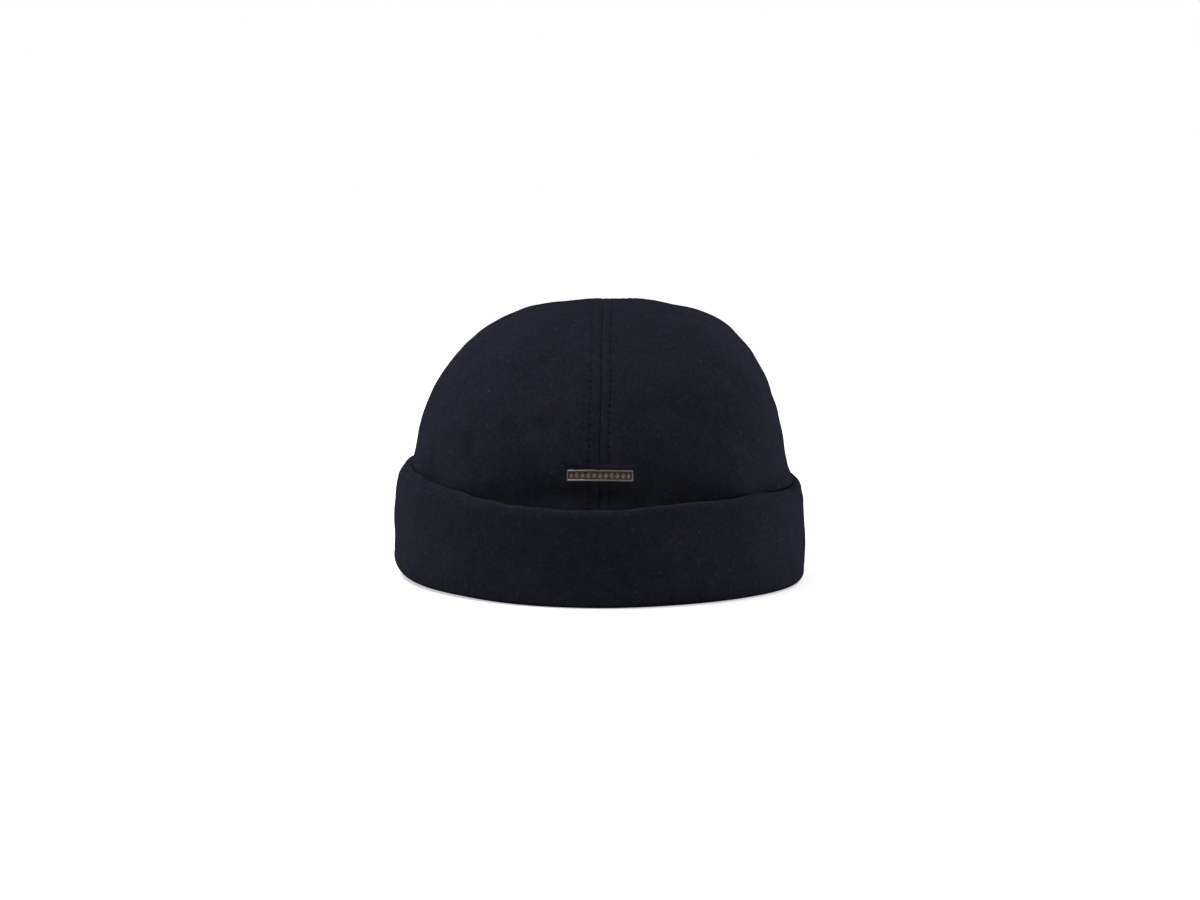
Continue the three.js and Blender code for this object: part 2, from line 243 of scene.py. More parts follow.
def add_object(name, data):
    """Puts a mesh, a camera or a lamp into the scene under a name."""
    item = bpy.data.objects.new(name, data)
    bpy.context.scene.collection.objects.link(item)
    return item


def add_point_values(piece, name, values):
    """Gives a piece an attribute with one number for each point, for its material to read."""
    attribute = piece.data.attributes.new(name, "FLOAT", "POINT")
    attribute.data.foreach_set("value", values.astype(np.float32).ravel())


def new_piece(name, points, quads, triangles=(), slot="crown_wool", stands_for=(), material=None):
    """Makes a piece from points in millimetres and its faces, turned outwards, and lets it ride with the hat.
    stands_for names the solids that it replaces."""
    points = np.asarray(points, float)
    quads = np.asarray(quads, np.int64).reshape(-1, 4)
    triangles = np.asarray(triangles, np.int64).reshape(-1, 3)
    split = np.concatenate([quads[:, [0, 1, 2]], quads[:, [0, 2, 3]], triangles])
    if volume_of(points, split) < 0:
        quads, triangles = quads[:, ::-1], triangles[:, ::-1]
    mesh = bpy.data.meshes.new(name)
    mesh.vertices.add(len(points))
    mesh.vertices.foreach_set("co", (points * MM).astype(np.float32).ravel())
    mesh.loops.add(quads.size + triangles.size)
    corners = np.concatenate([quads.ravel(), triangles.ravel()])
    mesh.loops.foreach_set("vertex_index", corners.astype(np.int32))
    sizes = np.repeat([4, 3], [len(quads), len(triangles)])
    mesh.polygons.add(len(sizes))
    mesh.polygons.foreach_set("loop_start", (np.cumsum(sizes) - sizes).astype(np.int32))
    mesh.polygons.foreach_set("use_smooth", np.ones(len(sizes), bool))
    mesh.update(calc_edges=True)
    mesh.set_sharp_from_angle(angle=SHARP_ANGLE)
    mesh.materials.append(material)
    piece = add_object(name, mesh)
    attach(piece, "root")
    if stands_for:
        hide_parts(*stands_for)
    volume = abs(volume_of(points, split)) / 1000
    print(f"{name}: {len(split)} triangles around {volume:.2f} cubic centimetres")
    return piece


# %% [markdown]
# ## Felted wool
#
# The cloth was milled until its fibres locked into a mat, so there is no weave to draw. What the eye reads
# as wool is unevenness at several sizes at once: patches a centimetre wide where the mat is thicker, soft
# blotches of 1 to 3 mm, and single fibres. Each size is a noise of its own here. A noise whose place is
# bent by another noise gives the curled strands. They drive the colour a little and the bump a little
# more. The fibre ends that stand off the cloth catch light at a grazing angle, and sheen stands for them.

# %% Shader nodes
def feed(tree, socket, value):
    """Links a node's result to a socket, or sets the socket to a number or a colour."""
    if isinstance(value, bpy.types.NodeSocket):
        tree.links.new(value, socket)
    else:
        socket.default_value = value


def add_node(tree, kind, settings=None, **values):
    """Adds a node to a tree, sets its options and feeds each named input."""
    node = tree.nodes.new(kind)
    for option, value in (settings or {}).items():
        setattr(node, option, value)
    for name, value in values.items():
        feed(tree, node.inputs[name.replace("_", " ")], value)
    return node


def calculated(tree, operation, *values, kind="ShaderNodeMath"):
    """The result of a Math node, with its inputs in their order."""
    node = add_node(tree, kind, {"operation": operation})
    for socket, value in zip(node.inputs, values):
        feed(tree, socket, value)
    return node.outputs[0]


def noise(tree, place, scale, detail, **more):
    """The grey value of a noise with about so many waves to the metre."""
    return add_node(tree, "ShaderNodeTexNoise", Vector=place, Scale=scale, Detail=detail, **more).outputs["Fac"]


def stretched(tree, value, before=(0.0, 1.0), after=(0.0, 1.0), soft=False):
    """Values between those of before, taken to lie between those of after, and held past them. A soft one
    has a smooth step in place of a straight slope."""
    way = {"interpolation_type": "SMOOTHSTEP" if soft else "LINEAR"}
    return add_node(tree, "ShaderNodeMapRange", way, Value=value, From_Min=before[0], From_Max=before[1],
                    To_Min=after[0], To_Max=after[1]).outputs[0]


def mixed(tree, amount, first, second):
    """A colour between two others, each of them a plain colour or another node's result."""
    node = add_node(tree, "ShaderNodeMix", {"data_type": "RGBA"}, Factor=amount)
    for socket, colour in zip(node.inputs[6:8], (first, second)):
        feed(tree, socket, colour if isinstance(colour, bpy.types.NodeSocket) else (*colour, 1))
    return node.outputs[2]


def bump(tree, strength, reach, height, **more):
    """The direction in which a surface seems to face when a height is added to it."""
    return add_node(tree, "ShaderNodeBump", Strength=strength, Distance=reach, Height=height, **more).outputs[0]


def point_value(tree, name):
    """The number that a piece's attribute holds for each point."""
    return add_node(tree, "ShaderNodeAttribute", {"attribute_name": name}).outputs["Fac"]


def new_material(name, colour, finish):
    """A material with its colour for plain viewers, its tree and shader, and the Object coordinates. The
    finish holds the shader's values that are the same all over."""
    material = bpy.data.materials.new(name)
    material.use_nodes = True
    material.diffuse_color = (*colour, 1)
    tree = material.node_tree
    shader = tree.nodes["Principled BSDF"]
    for socket, value in finish.items():
        shader.inputs[socket].default_value = value
    return material, tree, shader, add_node(tree, "ShaderNodeTexCoord").outputs["Object"]


# %% Wool material
# The last shade is a painted highlight: it lightens the crest of the cuff's roll, where light from above falls.
WOOL = {"dark": (0.0156, 0.0163, 0.0262), "warm": (0.0276, 0.0263, 0.0418), "cool": (0.0236, 0.0275, 0.0452),
        "hair": (0.0340, 0.0355, 0.0530), "lint": (0.060, 0.061, 0.074), "painted_highlight": (0.048, 0.0455, 0.056)}
WOOL_FINISH = {"Specular IOR Level": 0.0, "Sheen Weight": 0.022, "Sheen Roughness": 0.45,
               "Sheen Tint": (0.62, 0.66, 0.86, 1)}
BLOTCH, PATCH, FIBRE, TINT = 780.0, 95.0, 2600.0, 210.0     # about how many of each fit in a metre
CURL = 0.0035                                               # how far a strand is bent, in metres
PATCH_SHARE = 0.22
LINT = {"cells": 230.0, "reach": 0.075, "share": 0.3}
HAIR = {"scale": 520.0, "width": 0.024, "pieces": 230.0, "kept": (0.58, 0.68), "raised": 0.4}
BUMP = {"strands": (0.55, 0.0005), "fibres": (0.5, 0.00012)}    # strength, and height in metres


def lint_amount(tree, place):
    """1 on a fleck of lint and 0 beside it. Cells fill the space, a random few of them hold a fleck, and it
    is where the cell's own point lies close to the cloth."""
    cells = add_node(tree, "ShaderNodeTexVoronoi", Vector=place, Scale=LINT["cells"])
    close = calculated(tree, "LESS_THAN", cells.outputs["Distance"], LINT["reach"])
    chance = add_node(tree, "ShaderNodeSeparateColor", Color=cells.outputs["Color"]).outputs["Red"]
    return calculated(tree, "MULTIPLY", close, calculated(tree, "GREATER_THAN", chance, 1 - LINT["share"]))


def hair_amount(tree, place):
    """1 along a loose hair and 0 beside it. A noise passes its middle value along thin curled lines, and a
    second, coarser noise breaks the lines up into short pieces."""
    curl = noise(tree, place, HAIR["scale"], 1.0, Distortion=1.3)
    on_line = calculated(tree, "COMPARE", curl, 0.5, HAIR["width"])
    kept = stretched(tree, noise(tree, place, HAIR["pieces"], 2.0), HAIR["kept"], soft=True)
    return calculated(tree, "MULTIPLY", on_line, kept)


def painted_highlight_amount(tree, fibres):
    """How much painted highlight shows on the roll's crest: its attribute, broken up by the fibres' noise."""
    broken_up = stretched(tree, fibres, (0.35, 0.65), (0.25, 1.0))
    return calculated(tree, "MULTIPLY", point_value(tree, "painted_crest_highlight"), broken_up)


def felted_wool(name):
    """Wool cloth: blotches and patches mix a dark and a light shade, and strands and fibres raise the surface.
    The light shade runs between a warm and a cool navy, because the yarn is spun from fibres of both."""
    material, tree, shader, place = new_material(name, WOOL["cool"], WOOL_FINISH)
    swirl = add_node(tree, "ShaderNodeTexNoise", Vector=place, Scale=BLOTCH * 0.45, Detail=2.0).outputs["Color"]
    bent = calculated(tree, "MULTIPLY_ADD", swirl, (CURL,) * 3, place, kind="ShaderNodeVectorMath")
    strands = noise(tree, bent, BLOTCH, 5.0, Roughness=0.62, Distortion=0.6)
    patches = noise(tree, place, PATCH, 3.0)
    fibres = noise(tree, bent, FIBRE, 3.0, Roughness=0.7, Distortion=1.5)
    uneven = add_node(tree, "ShaderNodeMix", {"data_type": "FLOAT"}, Factor=PATCH_SHARE, A=strands,
                      B=patches).outputs[0]
    tint = stretched(tree, noise(tree, bent, TINT, 3.0), (0.4, 0.6), soft=True)
    light = mixed(tree, tint, WOOL["warm"], WOOL["cool"])
    colour = mixed(tree, stretched(tree, uneven, (0.3, 0.7), soft=True), WOOL["dark"], light)
    hair, lint, painted_highlight = hair_amount(tree, place), lint_amount(tree, bent), painted_highlight_amount(tree, fibres)
    # The last mix lays a painted highlight on the crest of the cuff's roll.
    for shade, amount in (("hair", hair), ("lint", lint), ("painted_highlight", painted_highlight)):
        colour = mixed(tree, amount, colour, WOOL[shade])
    feed(tree, shader.inputs["Base Color"], colour)
    feed(tree, shader.inputs["Roughness"], stretched(tree, strands, after=(0.86, 1.0)))
    coarse = bump(tree, *BUMP["strands"], uneven)
    nap = calculated(tree, "MULTIPLY_ADD", hair, HAIR["raised"], fibres)
    feed(tree, shader.inputs["Normal"], bump(tree, *BUMP["fibres"], nap, Normal=coarse))
    return material


crown_wool, cuff_wool = felted_wool("crown wool"), felted_wool("cuff wool")
print("wool: 2 materials of", len(crown_wool.node_tree.nodes), "nodes each")

# %% [markdown]
# ## Thread and metal
#
# The thread is navy like the cloth, but twisted and smooth, so it has a slight gloss where wool has none.
#
# The plate has an aged bronze finish: a brown patina lies in the recess and a paler, greyer metal shows
# where it is rubbed. The attribute that holds the plate's height mixes the two, and a noise breaks up the
# border between them.

# %% Thread and metal materials
# The bumps are a strength and a height in metres, as for the wool.
THREAD = {"colour": (0.0120, 0.0128, 0.0208), "varies": 0.4, "twist": 3500.0, "bump": (0.6, 0.0001)}
BRONZE = {"patina": (0.150, 0.103, 0.077), "metal": (0.37, 0.318, 0.284), "spots": 1300.0, "grain": 6000.0,
          "bump": (0.4, 0.00006)}


def twisted_thread(name):
    """Thread: a fine noise makes its one colour darker and lighter, with the gloss of twisted yarn."""
    finish = {"Roughness": 0.75, "Specular IOR Level": 0.08}
    material, tree, shader, place = new_material(name, THREAD["colour"], finish)
    twist = noise(tree, place, THREAD["twist"], 2.0)
    factors = 1 - THREAD["varies"], 1 + THREAD["varies"]
    dark, light = ([factor * part for part in THREAD["colour"]] for factor in factors)
    feed(tree, shader.inputs["Base Color"], mixed(tree, twist, dark, light))
    feed(tree, shader.inputs["Normal"], bump(tree, *THREAD["bump"], twist))
    return material


def aged_bronze(name):
    """Bronze: patina in the low places and rubbed metal on the high ones, as the wear attribute says."""
    material, tree, shader, place = new_material(name, BRONZE["metal"], {"Metallic": 0.9})
    wear = point_value(tree, "wear")
    spots = noise(tree, place, BRONZE["spots"], 5.0, Roughness=0.6)
    bare = stretched(tree, calculated(tree, "MULTIPLY_ADD", spots, 0.9, wear), (0.45, 1.25), soft=True)
    feed(tree, shader.inputs["Base Color"], mixed(tree, bare, BRONZE["patina"], BRONZE["metal"]))
    feed(tree, shader.inputs["Roughness"], stretched(tree, bare, after=(0.62, 0.38)))
    grain = noise(tree, place, BRONZE["grain"], 2.0)
    feed(tree, shader.inputs["Normal"], bump(tree, *BRONZE["bump"], grain))
    return material


thread, bronze = twisted_thread("navy thread"), aged_bronze("aged bronze")
print("materials:", [material.name for material in (crown_wool, cuff_wool, thread, bronze)])

# %% [markdown]
# ## How cloth is never quite even
#
# A sewn hat keeps the soft waves of its making, and thick cloth has low and high places. A sum of long
# sine waves in many directions gives such an unevenness. It is the same function of place for every
# piece, so that it runs on across a seam, and its directions come from fixed seeds.

# %% Soft waves
def soft_waves(points, wavelength, seed, count=14):
    """A smooth random height at each point, of about -1 to 1: the sum of sine waves that run in random
    directions with about the given wavelength in millimetres."""
    rng = np.random.default_rng(seed)
    ways = unit(rng.normal(size=(count, 3)))
    ways *= 2 * np.pi / (wavelength * rng.uniform(0.75, 1.35, (count, 1)))
    starts = rng.uniform(0, 2 * np.pi, count)
    return np.sin(points @ ways.T + starts).sum(axis=-1) / math.sqrt(count)


def sum_of_waves(points, waves):
    """Soft waves of several sizes together. Each of them has a wavelength, a height and a seed."""
    return sum(height * soft_waves(points, wavelength, seed) for wavelength, height, seed in waves)


# %% [markdown]
# ## The crown's cloth
#
# Each panel is a wall of cloth 2 mm thick. Where two panels are sewn together their edges are turned in, so
# the outer face rounds down into the seam. The turned-in edge, the seam allowance, is pressed open inside
# and caught by a row of stitches on each side of the seam. That row pulls the cloth down in a shallow
# channel with small puckers, and just past the end of the allowance the cloth rises in a low ridge.
#
# All of that is relief: a height above the plain crown that depends on the distance to the seam and on
# the place along it. The cloth has also settled into shallow hollows and low swellings, most of them just
# above the cuff, and it is pressed flat under the plate.

# %% Values of the crown's cloth
CLOTH = 2.0
CROWN_BOTTOM = 2.3
EDGE_ROUND = 1.1                    # how far from a seam its edge begins to turn
EDGE_DEPTH = 0.6                    # depth of the turn, as a share of that
EDGE_AT_TOP = 0.25                  # and round the top, where the layers of four seams fill it
KEPT_NEAR_SEAM = 3.0                # nearer than this, the relief moves the cloth less and less sideways
STITCH_LINE = 4.2                   # distance of each row of stitches from the seam
CLOSE_LINE = {"front_right": 3.7}   # one row runs a little closer
STITCH_COUNT = 64                   # stitches beside each seam, counted from the floor to the top
# The pit at each needle hole, how narrow it is along the row, and by what share pits differ.
HOLE = {"depth": 0.62, "sharp": 4, "varies": 0.4}
# The channel of the stitches, the valley over the seam, and the ridge past the end of the allowance.
CHANNEL = {"depth": 0.22, "width": 0.55}
VALLEY = {"depth": 0.35, "width": 1.5}
RIDGE = {"height": 0.35, "place": 8.0, "width": 2.4}
PUCKER = {"height": 0.16, "reach": 3.2}
PRESSED_FOLD = {"depth": 0.75, "place": 5.9, "width": 2.4, "from_z": 58.0, "to_z": 90.0}
ALLOWANCE = {"width": 7.0, "thickness": 1.8, "start": 11.3, "round": 0.8, "soft": 0.2}
RAGGED = {"wavelength": 5.0, "height": 0.25, "seed": 23}    # how the allowance's cut edge wavers
CROWN_WAVES = ((34.0, 0.5, 3), (13.0, 0.16, 4))     # wavelength, height and seed of each
HIDDEN_WAVES = 0.2                                  # the share of them that is left behind the cuff
HIDDEN_BELOW, FREE_ABOVE = 30.0, 46.0               # behind the cuff the cloth lies smooth
CALM_TOP = (12.0, 44.0)         # the relief grows between these distances from the middle,
GROOVE_TOP = (12.0, 50.0)       # and the groove of the seams between these
PLATE_MASK = {"half_length": 13.7, "z": 52.75, "half_height": 3.0, "soft": 2.5}

print(f"{STITCH_COUNT} stitches beside each seam, {STITCH_LINE} mm from it, in cloth {CLOTH} mm thick")

# %% Relief beside a seam
SEAM_ANGLE = {"middle": math.pi / 2, "side": 0.0}


def length_along(quarter, phi, m):
    """Distance along the plain crown at phi, from the floor up to row m."""
    fine = np.linspace(0, LAST_ROW, 3001)
    return np.interp(m, fine, path_lengths(crown_surface(quarter, phi, fine)))


def puckers(along, seed):
    """Small waves along a row of stitches: three sines whose lengths don't share a beat."""
    rng = np.random.default_rng(seed)
    lengths = rng.uniform((6.5, 10.0, 15.0), (8.5, 13.0, 21.0))
    starts = rng.uniform(0, 2 * np.pi, 3)
    return sum(np.sin(2 * np.pi * along / length + start) for length, start in zip(lengths, starts)) / 3


def stitch_pitch(quarter, seam):
    """The length of one stitch: the length of the seam shared out evenly."""
    return length_along(quarter, SEAM_ANGLE[seam], LAST_ROW) / STITCH_COUNT


def stitch_line(quarter, seam):
    """The distance from a seam at which its row of stitches runs on a panel."""
    return CLOSE_LINE.get(quarter.name, STITCH_LINE) if seam == "middle" else STITCH_LINE


def off_axis(points):
    """Distance of each point from the hat's upright middle line."""
    return np.hypot(points[..., 0], points[..., 1])


def relief_share(points):
    """How strongly the seams' relief shows: 1 over most of the crown, 0 behind the cuff, and 0 round the top,
    where the presser foot and the layers of four seams flatten it."""
    return ease(off_axis(points), *CALM_TOP) * ease(points[..., 2], HIDDEN_BELOW, FREE_ABOVE)


def seam_relief(distance, along, line, pitch, seed):
    """Height of the cloth beside a seam: a channel at the stitches, a pit where the thread goes in, which is
    a power of a raised cosine along the row, a ridge past the end of the allowance, and puckers in both."""
    channel = bell(distance, line, CHANNEL["width"])
    ridge = RIDGE["height"] * bell(distance, RIDGE["place"], RIDGE["width"])
    valley = VALLEY["depth"] * bell(distance, 0.0, VALLEY["width"])
    pit = (0.5 + 0.5 * np.cos(2 * np.pi * along / pitch)) ** HOLE["sharp"]
    pit = pit * (1 + HOLE["varies"] * puckers(along, seed + 100))
    height = ridge - valley - channel * (CHANNEL["depth"] + HOLE["depth"] * pit)
    return height + PUCKER["height"] * bell(distance, line, PUCKER["reach"]) * puckers(along, seed)


print("stitches are", [round(float(stitch_pitch(quarter, "middle")), 2) for quarter in QUARTERS], "mm long")

# %% Hollows and swellings
# Each row is one hollow, or a swelling where the depth is negative.
HOLLOWS = np.array([
    (-68.0, 43.0, 4.7, 27.0, 11.5),
    (-105.0, 42.0, 2.8, 18.0, 10.0),
    (-80.0, 37.0, -3.2, 44.0, 5.5),
    (-70.0, 65.0, -1.2, 24.0, 9.0),
    (-109.0, 62.0, -0.6, 22.0, 8.0),
    (-178.0, 52.0, 0.5, 34.0, 6.0),
    (-178.0, 77.0, 0.9, 40.0, 9.0),
    (-2.0, 60.0, -0.5, 34.0, 10.0),
    (-6.0, 41.5, -1.3, 26.0, 4.5),
    (-184.0, 45.0, -0.8, 34.0, 4.5),
    (-35.0, 44.5, 2.8, 20.0, 6.5),
    (-145.0, 47.0, 2.0, 16.0, 6.5),
], dtype=[(name, float) for name in ("azimuth", "z", "depth", "wide", "tall")])


def hollow_depth(points):
    """How deep the settled hollows are at each point: each is a smooth bowl, widest along the cuff."""
    azimuth = np.degrees(np.arctan2(points[..., 1], points[..., 0]))
    reach = off_axis(points)
    depth = 0.0
    for row in HOLLOWS:
        turn = (azimuth - row["azimuth"] + 180) % 360 - 180
        wide = np.radians(turn) * reach / row["wide"]
        tall = (points[..., 2] - row["z"]) / row["tall"]
        depth = depth + row["depth"] * np.exp(-(wide**2) - tall**2)
    return depth


def under_plate(points):
    """1 under the plate and 0 past it, with a soft edge."""
    half_length, half_height, soft = (PLATE_MASK[key] for key in ("half_length", "half_height", "soft"))
    beside = 1 - ease(np.abs(points[..., 0]), half_length, half_length + soft)
    above = 1 - ease(np.abs(points[..., 2] - PLATE_MASK["z"]), half_height, half_height + soft)
    return beside * above * (points[..., 1] < 0)


print(len(HOLLOWS), "places, the deepest", HOLLOWS["depth"].max(), "mm deep")

# %% A panel's two faces
def rounding(distance, radius):
    """How far a rounded edge lies below the flat face: a quarter circle of the radius."""
    inside = np.clip(radius - distance, 0, radius)
    return radius - np.sqrt(radius**2 - inside**2)


def crown_form(quarter, plain, m, to_middle, to_side):
    """The relief at points of the plain crown: both seams' relief, the pressed fold, waves and hollows."""
    seeds = {"front": 11, "back": 13, "left": 17, "right": 19}
    free = ease(plain[..., 2], HIDDEN_BELOW, FREE_ABOVE)
    form = 0.0
    for seam, distance, seed in (("middle", to_middle, seeds[quarter.end] + quarter.x + 1),
                                 ("side", to_side, seeds[quarter.side] + quarter.y + 1)):
        up = length_along(quarter, SEAM_ANGLE[seam], m)
        form = form + seam_relief(distance, up, stitch_line(quarter, seam), stitch_pitch(quarter, seam), seed)
    if quarter.name == "front_right":
        press = bell(to_middle, PRESSED_FOLD["place"], PRESSED_FOLD["width"])
        press = press * ease(plain[..., 2], PRESSED_FOLD["from_z"], PRESSED_FOLD["to_z"])
        form = form - PRESSED_FOLD["depth"] * press
    form = form * relief_share(plain)
    share = HIDDEN_WAVES + (1 - HIDDEN_WAVES) * free
    for wavelength, height, seed in CROWN_WAVES:
        form = form + height * soft_waves(plain, wavelength, seed) * share
    return (form - hollow_depth(plain)) * (1 - under_plate(plain))


def panel_faces(quarter, phi, m):
    """The outer and inner face of a panel, and its outward direction. Both faces follow the crown's surface:
    the outer one with the relief added, the inner one a cloth's thickness inside it, or two under the
    allowance."""
    plain = crown_surface(quarter, phi, m)
    normal = crown_normal(quarter, phi, m)
    to_middle = np.abs(plain[..., 0] - lean_at(plain[..., 2]))
    to_side = np.abs(plain[..., 1])
    nearest = np.minimum(to_middle, to_side)
    form = crown_form(quarter, plain, m, to_middle, to_side)
    from_top = ease(off_axis(plain), *GROOVE_TOP)
    turned = (EDGE_AT_TOP + (EDGE_DEPTH - EDGE_AT_TOP) * from_top) * rounding(nearest, EDGE_ROUND)
    outer = plain + normal * (form - turned)[..., None]
    ragged = RAGGED["height"] * soft_waves(plain, RAGGED["wavelength"], RAGGED["seed"])
    soft = ALLOWANCE["soft"]
    doubled = 1 - ease(nearest + ragged, ALLOWANCE["width"] - soft, ALLOWANCE["width"] + soft)
    doubled = doubled * ease(plain[..., 2] + ragged, ALLOWANCE["start"] - soft, ALLOWANCE["start"] + soft)
    depth = CLOTH + (ALLOWANCE["thickness"] - rounding(nearest, ALLOWANCE["round"])) * doubled
    inner = plain + normal * (np.minimum(form, 0) - depth)[..., None]
    for face in (outer, inner):
        lean = lean_at(face[..., 2])
        face[..., 0] = lean + quarter.x * beside_plane(quarter.x * (face[..., 0] - lean), to_middle)
        face[..., 1] = quarter.y * beside_plane(quarter.y * face[..., 1], to_side)
    return outer, inner, normal


def beside_plane(moved, plain):
    """Keeps a panel on its own side of a seam. Close to the seam a point stays as far from its plane as it was
    on the plain crown, so the edges of two panels meet without a gap. Further away the relief moves it."""
    return np.maximum(plain + (moved - plain) * ease(plain, 0.0, KEPT_NEAR_SEAM), 0)


sample = panel_faces(QUARTERS[0], np.array([math.pi / 4]), np.array([4.0]))
print(f"the cloth is {np.linalg.norm(sample[0] - sample[1]):.2f} mm thick in the middle of the first panel")

# %% [markdown]
# ## The four panels
#
# The grid of a panel has its columns close together beside the seams, where the relief is fine. Its rows
# keep step with the stitches, five to a stitch, so that every needle hole has a row of its own. The two
# seams of a panel have as many stitches but aren't equally long, so a row lies at one height beside the
# side seam and at another beside the middle seam, with a smooth change between. Towards the top a panel
# narrows to a point, and its last ring closes with a fan of triangles onto one outer and one inner point.

# %% The grid of a panel
ROWS_PER_STITCH = 5
FIELD_SPACING = 1.9
TIGHT_RADIUS = 14.0     # inside this radius the columns beside the seams close up


def round_steps(radius, count):
    """Distances from an edge that step evenly round the quarter circle of its radius."""
    return radius * (1 - np.cos(np.linspace(0, np.pi / 2, count)))


def beside_seam():
    """Distances of the close columns from a seam: round the turned edge, then even steps over the channel,
    smaller ones where the allowance ends inside, and wider ones out to the field."""
    channel = np.arange(EDGE_ROUND + 0.25, 6.5, 0.35)
    return np.concatenate([round_steps(EDGE_ROUND, 7), channel, np.arange(6.6, 7.5, 0.15), [7.9, 8.5]])


def panel_rows(quarter, seam):
    """Row numbers along a seam, from the panel's bottom edge to just below the top, with as many for each
    stitch. Both seams of a panel start with the first row that is above the bottom edge at the side."""
    fine = np.linspace(0, LAST_ROW, 4001)
    first = math.ceil(CROWN_BOTTOM / stitch_pitch(quarter, "side") * ROWS_PER_STITCH)
    share = np.arange(first, STITCH_COUNT * ROWS_PER_STITCH) / (STITCH_COUNT * ROWS_PER_STITCH)
    length = length_along(quarter, SEAM_ANGLE[seam], fine)
    return np.interp(share * length[-1], length, fine)


def panel_grid(quarter):
    """The angle and the row number at each point of the grid: the close columns beside both seams at even
    distances from them, even steps between, and row numbers that change smoothly from seam to seam."""
    near = beside_seam()
    m_side, m_middle = panel_rows(quarter, "side"), panel_rows(quarter, "middle")
    across = np.maximum(crown_value(quarter.side, m_middle) * (1 + EGG * quarter.y), TIGHT_RADIUS)[:, None]
    along = np.maximum(crown_value(quarter.end, m_side), TIGHT_RADIUS)[:, None]
    first = near[None, :] / along
    last = math.pi / 2 - near[None, ::-1] / across
    widest = math.hypot(CROWN_ROWS[quarter.side][0], CROWN_ROWS[quarter.end][0])
    share = np.linspace(0, 1, int((widest - 2 * near[-1]) / FIELD_SPACING) + 2)[1:-1]
    field = first[:, -1:] + (last[:, :1] - first[:, -1:]) * share[None, :]
    blend = np.concatenate([0 * near, ease(share, 0.0, 1.0), 1 + 0 * near])[None, :]
    m = m_side[:, None] * (1 - blend) + m_middle[:, None] * blend
    return np.concatenate([first, field, last], axis=1), m


print("the grid of the first panel:", panel_grid(QUARTERS[0])[0].shape)


def make_panel(quarter):
    """A closed panel: rings that run along the outer face and back along the inner one, a strip of faces round
    the bottom edge, and a fan onto the two tip points."""
    phi, m = panel_grid(quarter)
    outer, inner = panel_faces(quarter, phi, m)[:2]
    rings, columns = phi.shape
    count = 2 * columns
    tips = panel_faces(quarter, np.array([math.pi / 4]), np.array([float(LAST_ROW)]))[:2]
    points = np.concatenate([np.concatenate([outer, inner[:, ::-1]], axis=1).reshape(-1, 3), *tips])
    top, over, under = (rings - 1) * count, len(points) - 2, len(points) - 1
    edge = top + np.arange(columns)
    fans = [fan_faces(edge, over), fan_faces(edge + columns, under)]
    sides = [(top + columns - 1, top + columns, under, over), (top + count - 1, top, over, under)]
    quads = np.concatenate([ring_faces(rings, count), strip_across(columns), sides])
    node = f"crown_{quarter.name}"
    piece = new_piece(f"{node}_cloth", points, quads, np.concatenate(fans), "crown_wool", [node], crown_wool)


# A panel is cut from a rectangle of cloth, with its allowances, as a gore that is widest at the bottom.
for quarter in QUARTERS:
    make_panel(quarter)

# %% [markdown]
# ## The cuff
#
# The strip is as long as the way round the hat. Its raw edge is turned up inside the crown, it rounds the
# bottom fold, stands up as the outer layer, folds over at the rim and comes down again inside, with a
# little air between the layers. Its section is made of arcs and nearly straight walls, and it is carried
# round the crown. At the back its two ends are sewn together, which draws a narrow groove.
#
# Along the crest of the fold at the rim the colour is lighter: a painted highlight, where light from above
# catches the nap.

# %% The cuff's section
STRIP = 1.8
# The roll at the rim: half its thickness, and as shares of that its height and how far its crest moves
# inwards. Each has a value for the front and back, and one for the sides.
ROLL = {"half": (2.1, 3.1), "tall": (1.9, 2.6), "inwards": (0.0, 0.62)}
CONTACT = 0.3       # the roll at the sides, and the inner layer all round, come so close to the crown
CUFF_LEAN = 0.7     # how far the outer layer leans in to the crown at the top
LEAN_POWER = 2.5    # and how late on its way up
SETTLED = ((0.2, 0.6), (0.86, 1.0))     # the inner layer comes to the crown and leaves it at these shares
FLARE = {"azimuth": -97.0, "spread": 36.0, "out": 2.8, "from": 0.3}     # at the front the cuff opens upwards
HEM = {"height": 9.5, "radius": 2.1, "gap": 0.4}
FOLD_UNDER = 1.2    # how far the bottom fold may reach in under the crown
WALL_STEPS = 35


def arc(centre_s, centre_z, radius_s, radius_z, start, end, steps):
    """Points on an ellipse's arc for every station at once, as an array of station, step and (s, z)."""
    angle = np.linspace(start, end, steps + 1)[None, :]
    s = centre_s[:, None] + radius_s[:, None] * np.cos(angle)
    z = centre_z[:, None] + radius_z[:, None] * np.sin(angle)
    return np.stack([s, z], axis=-1)


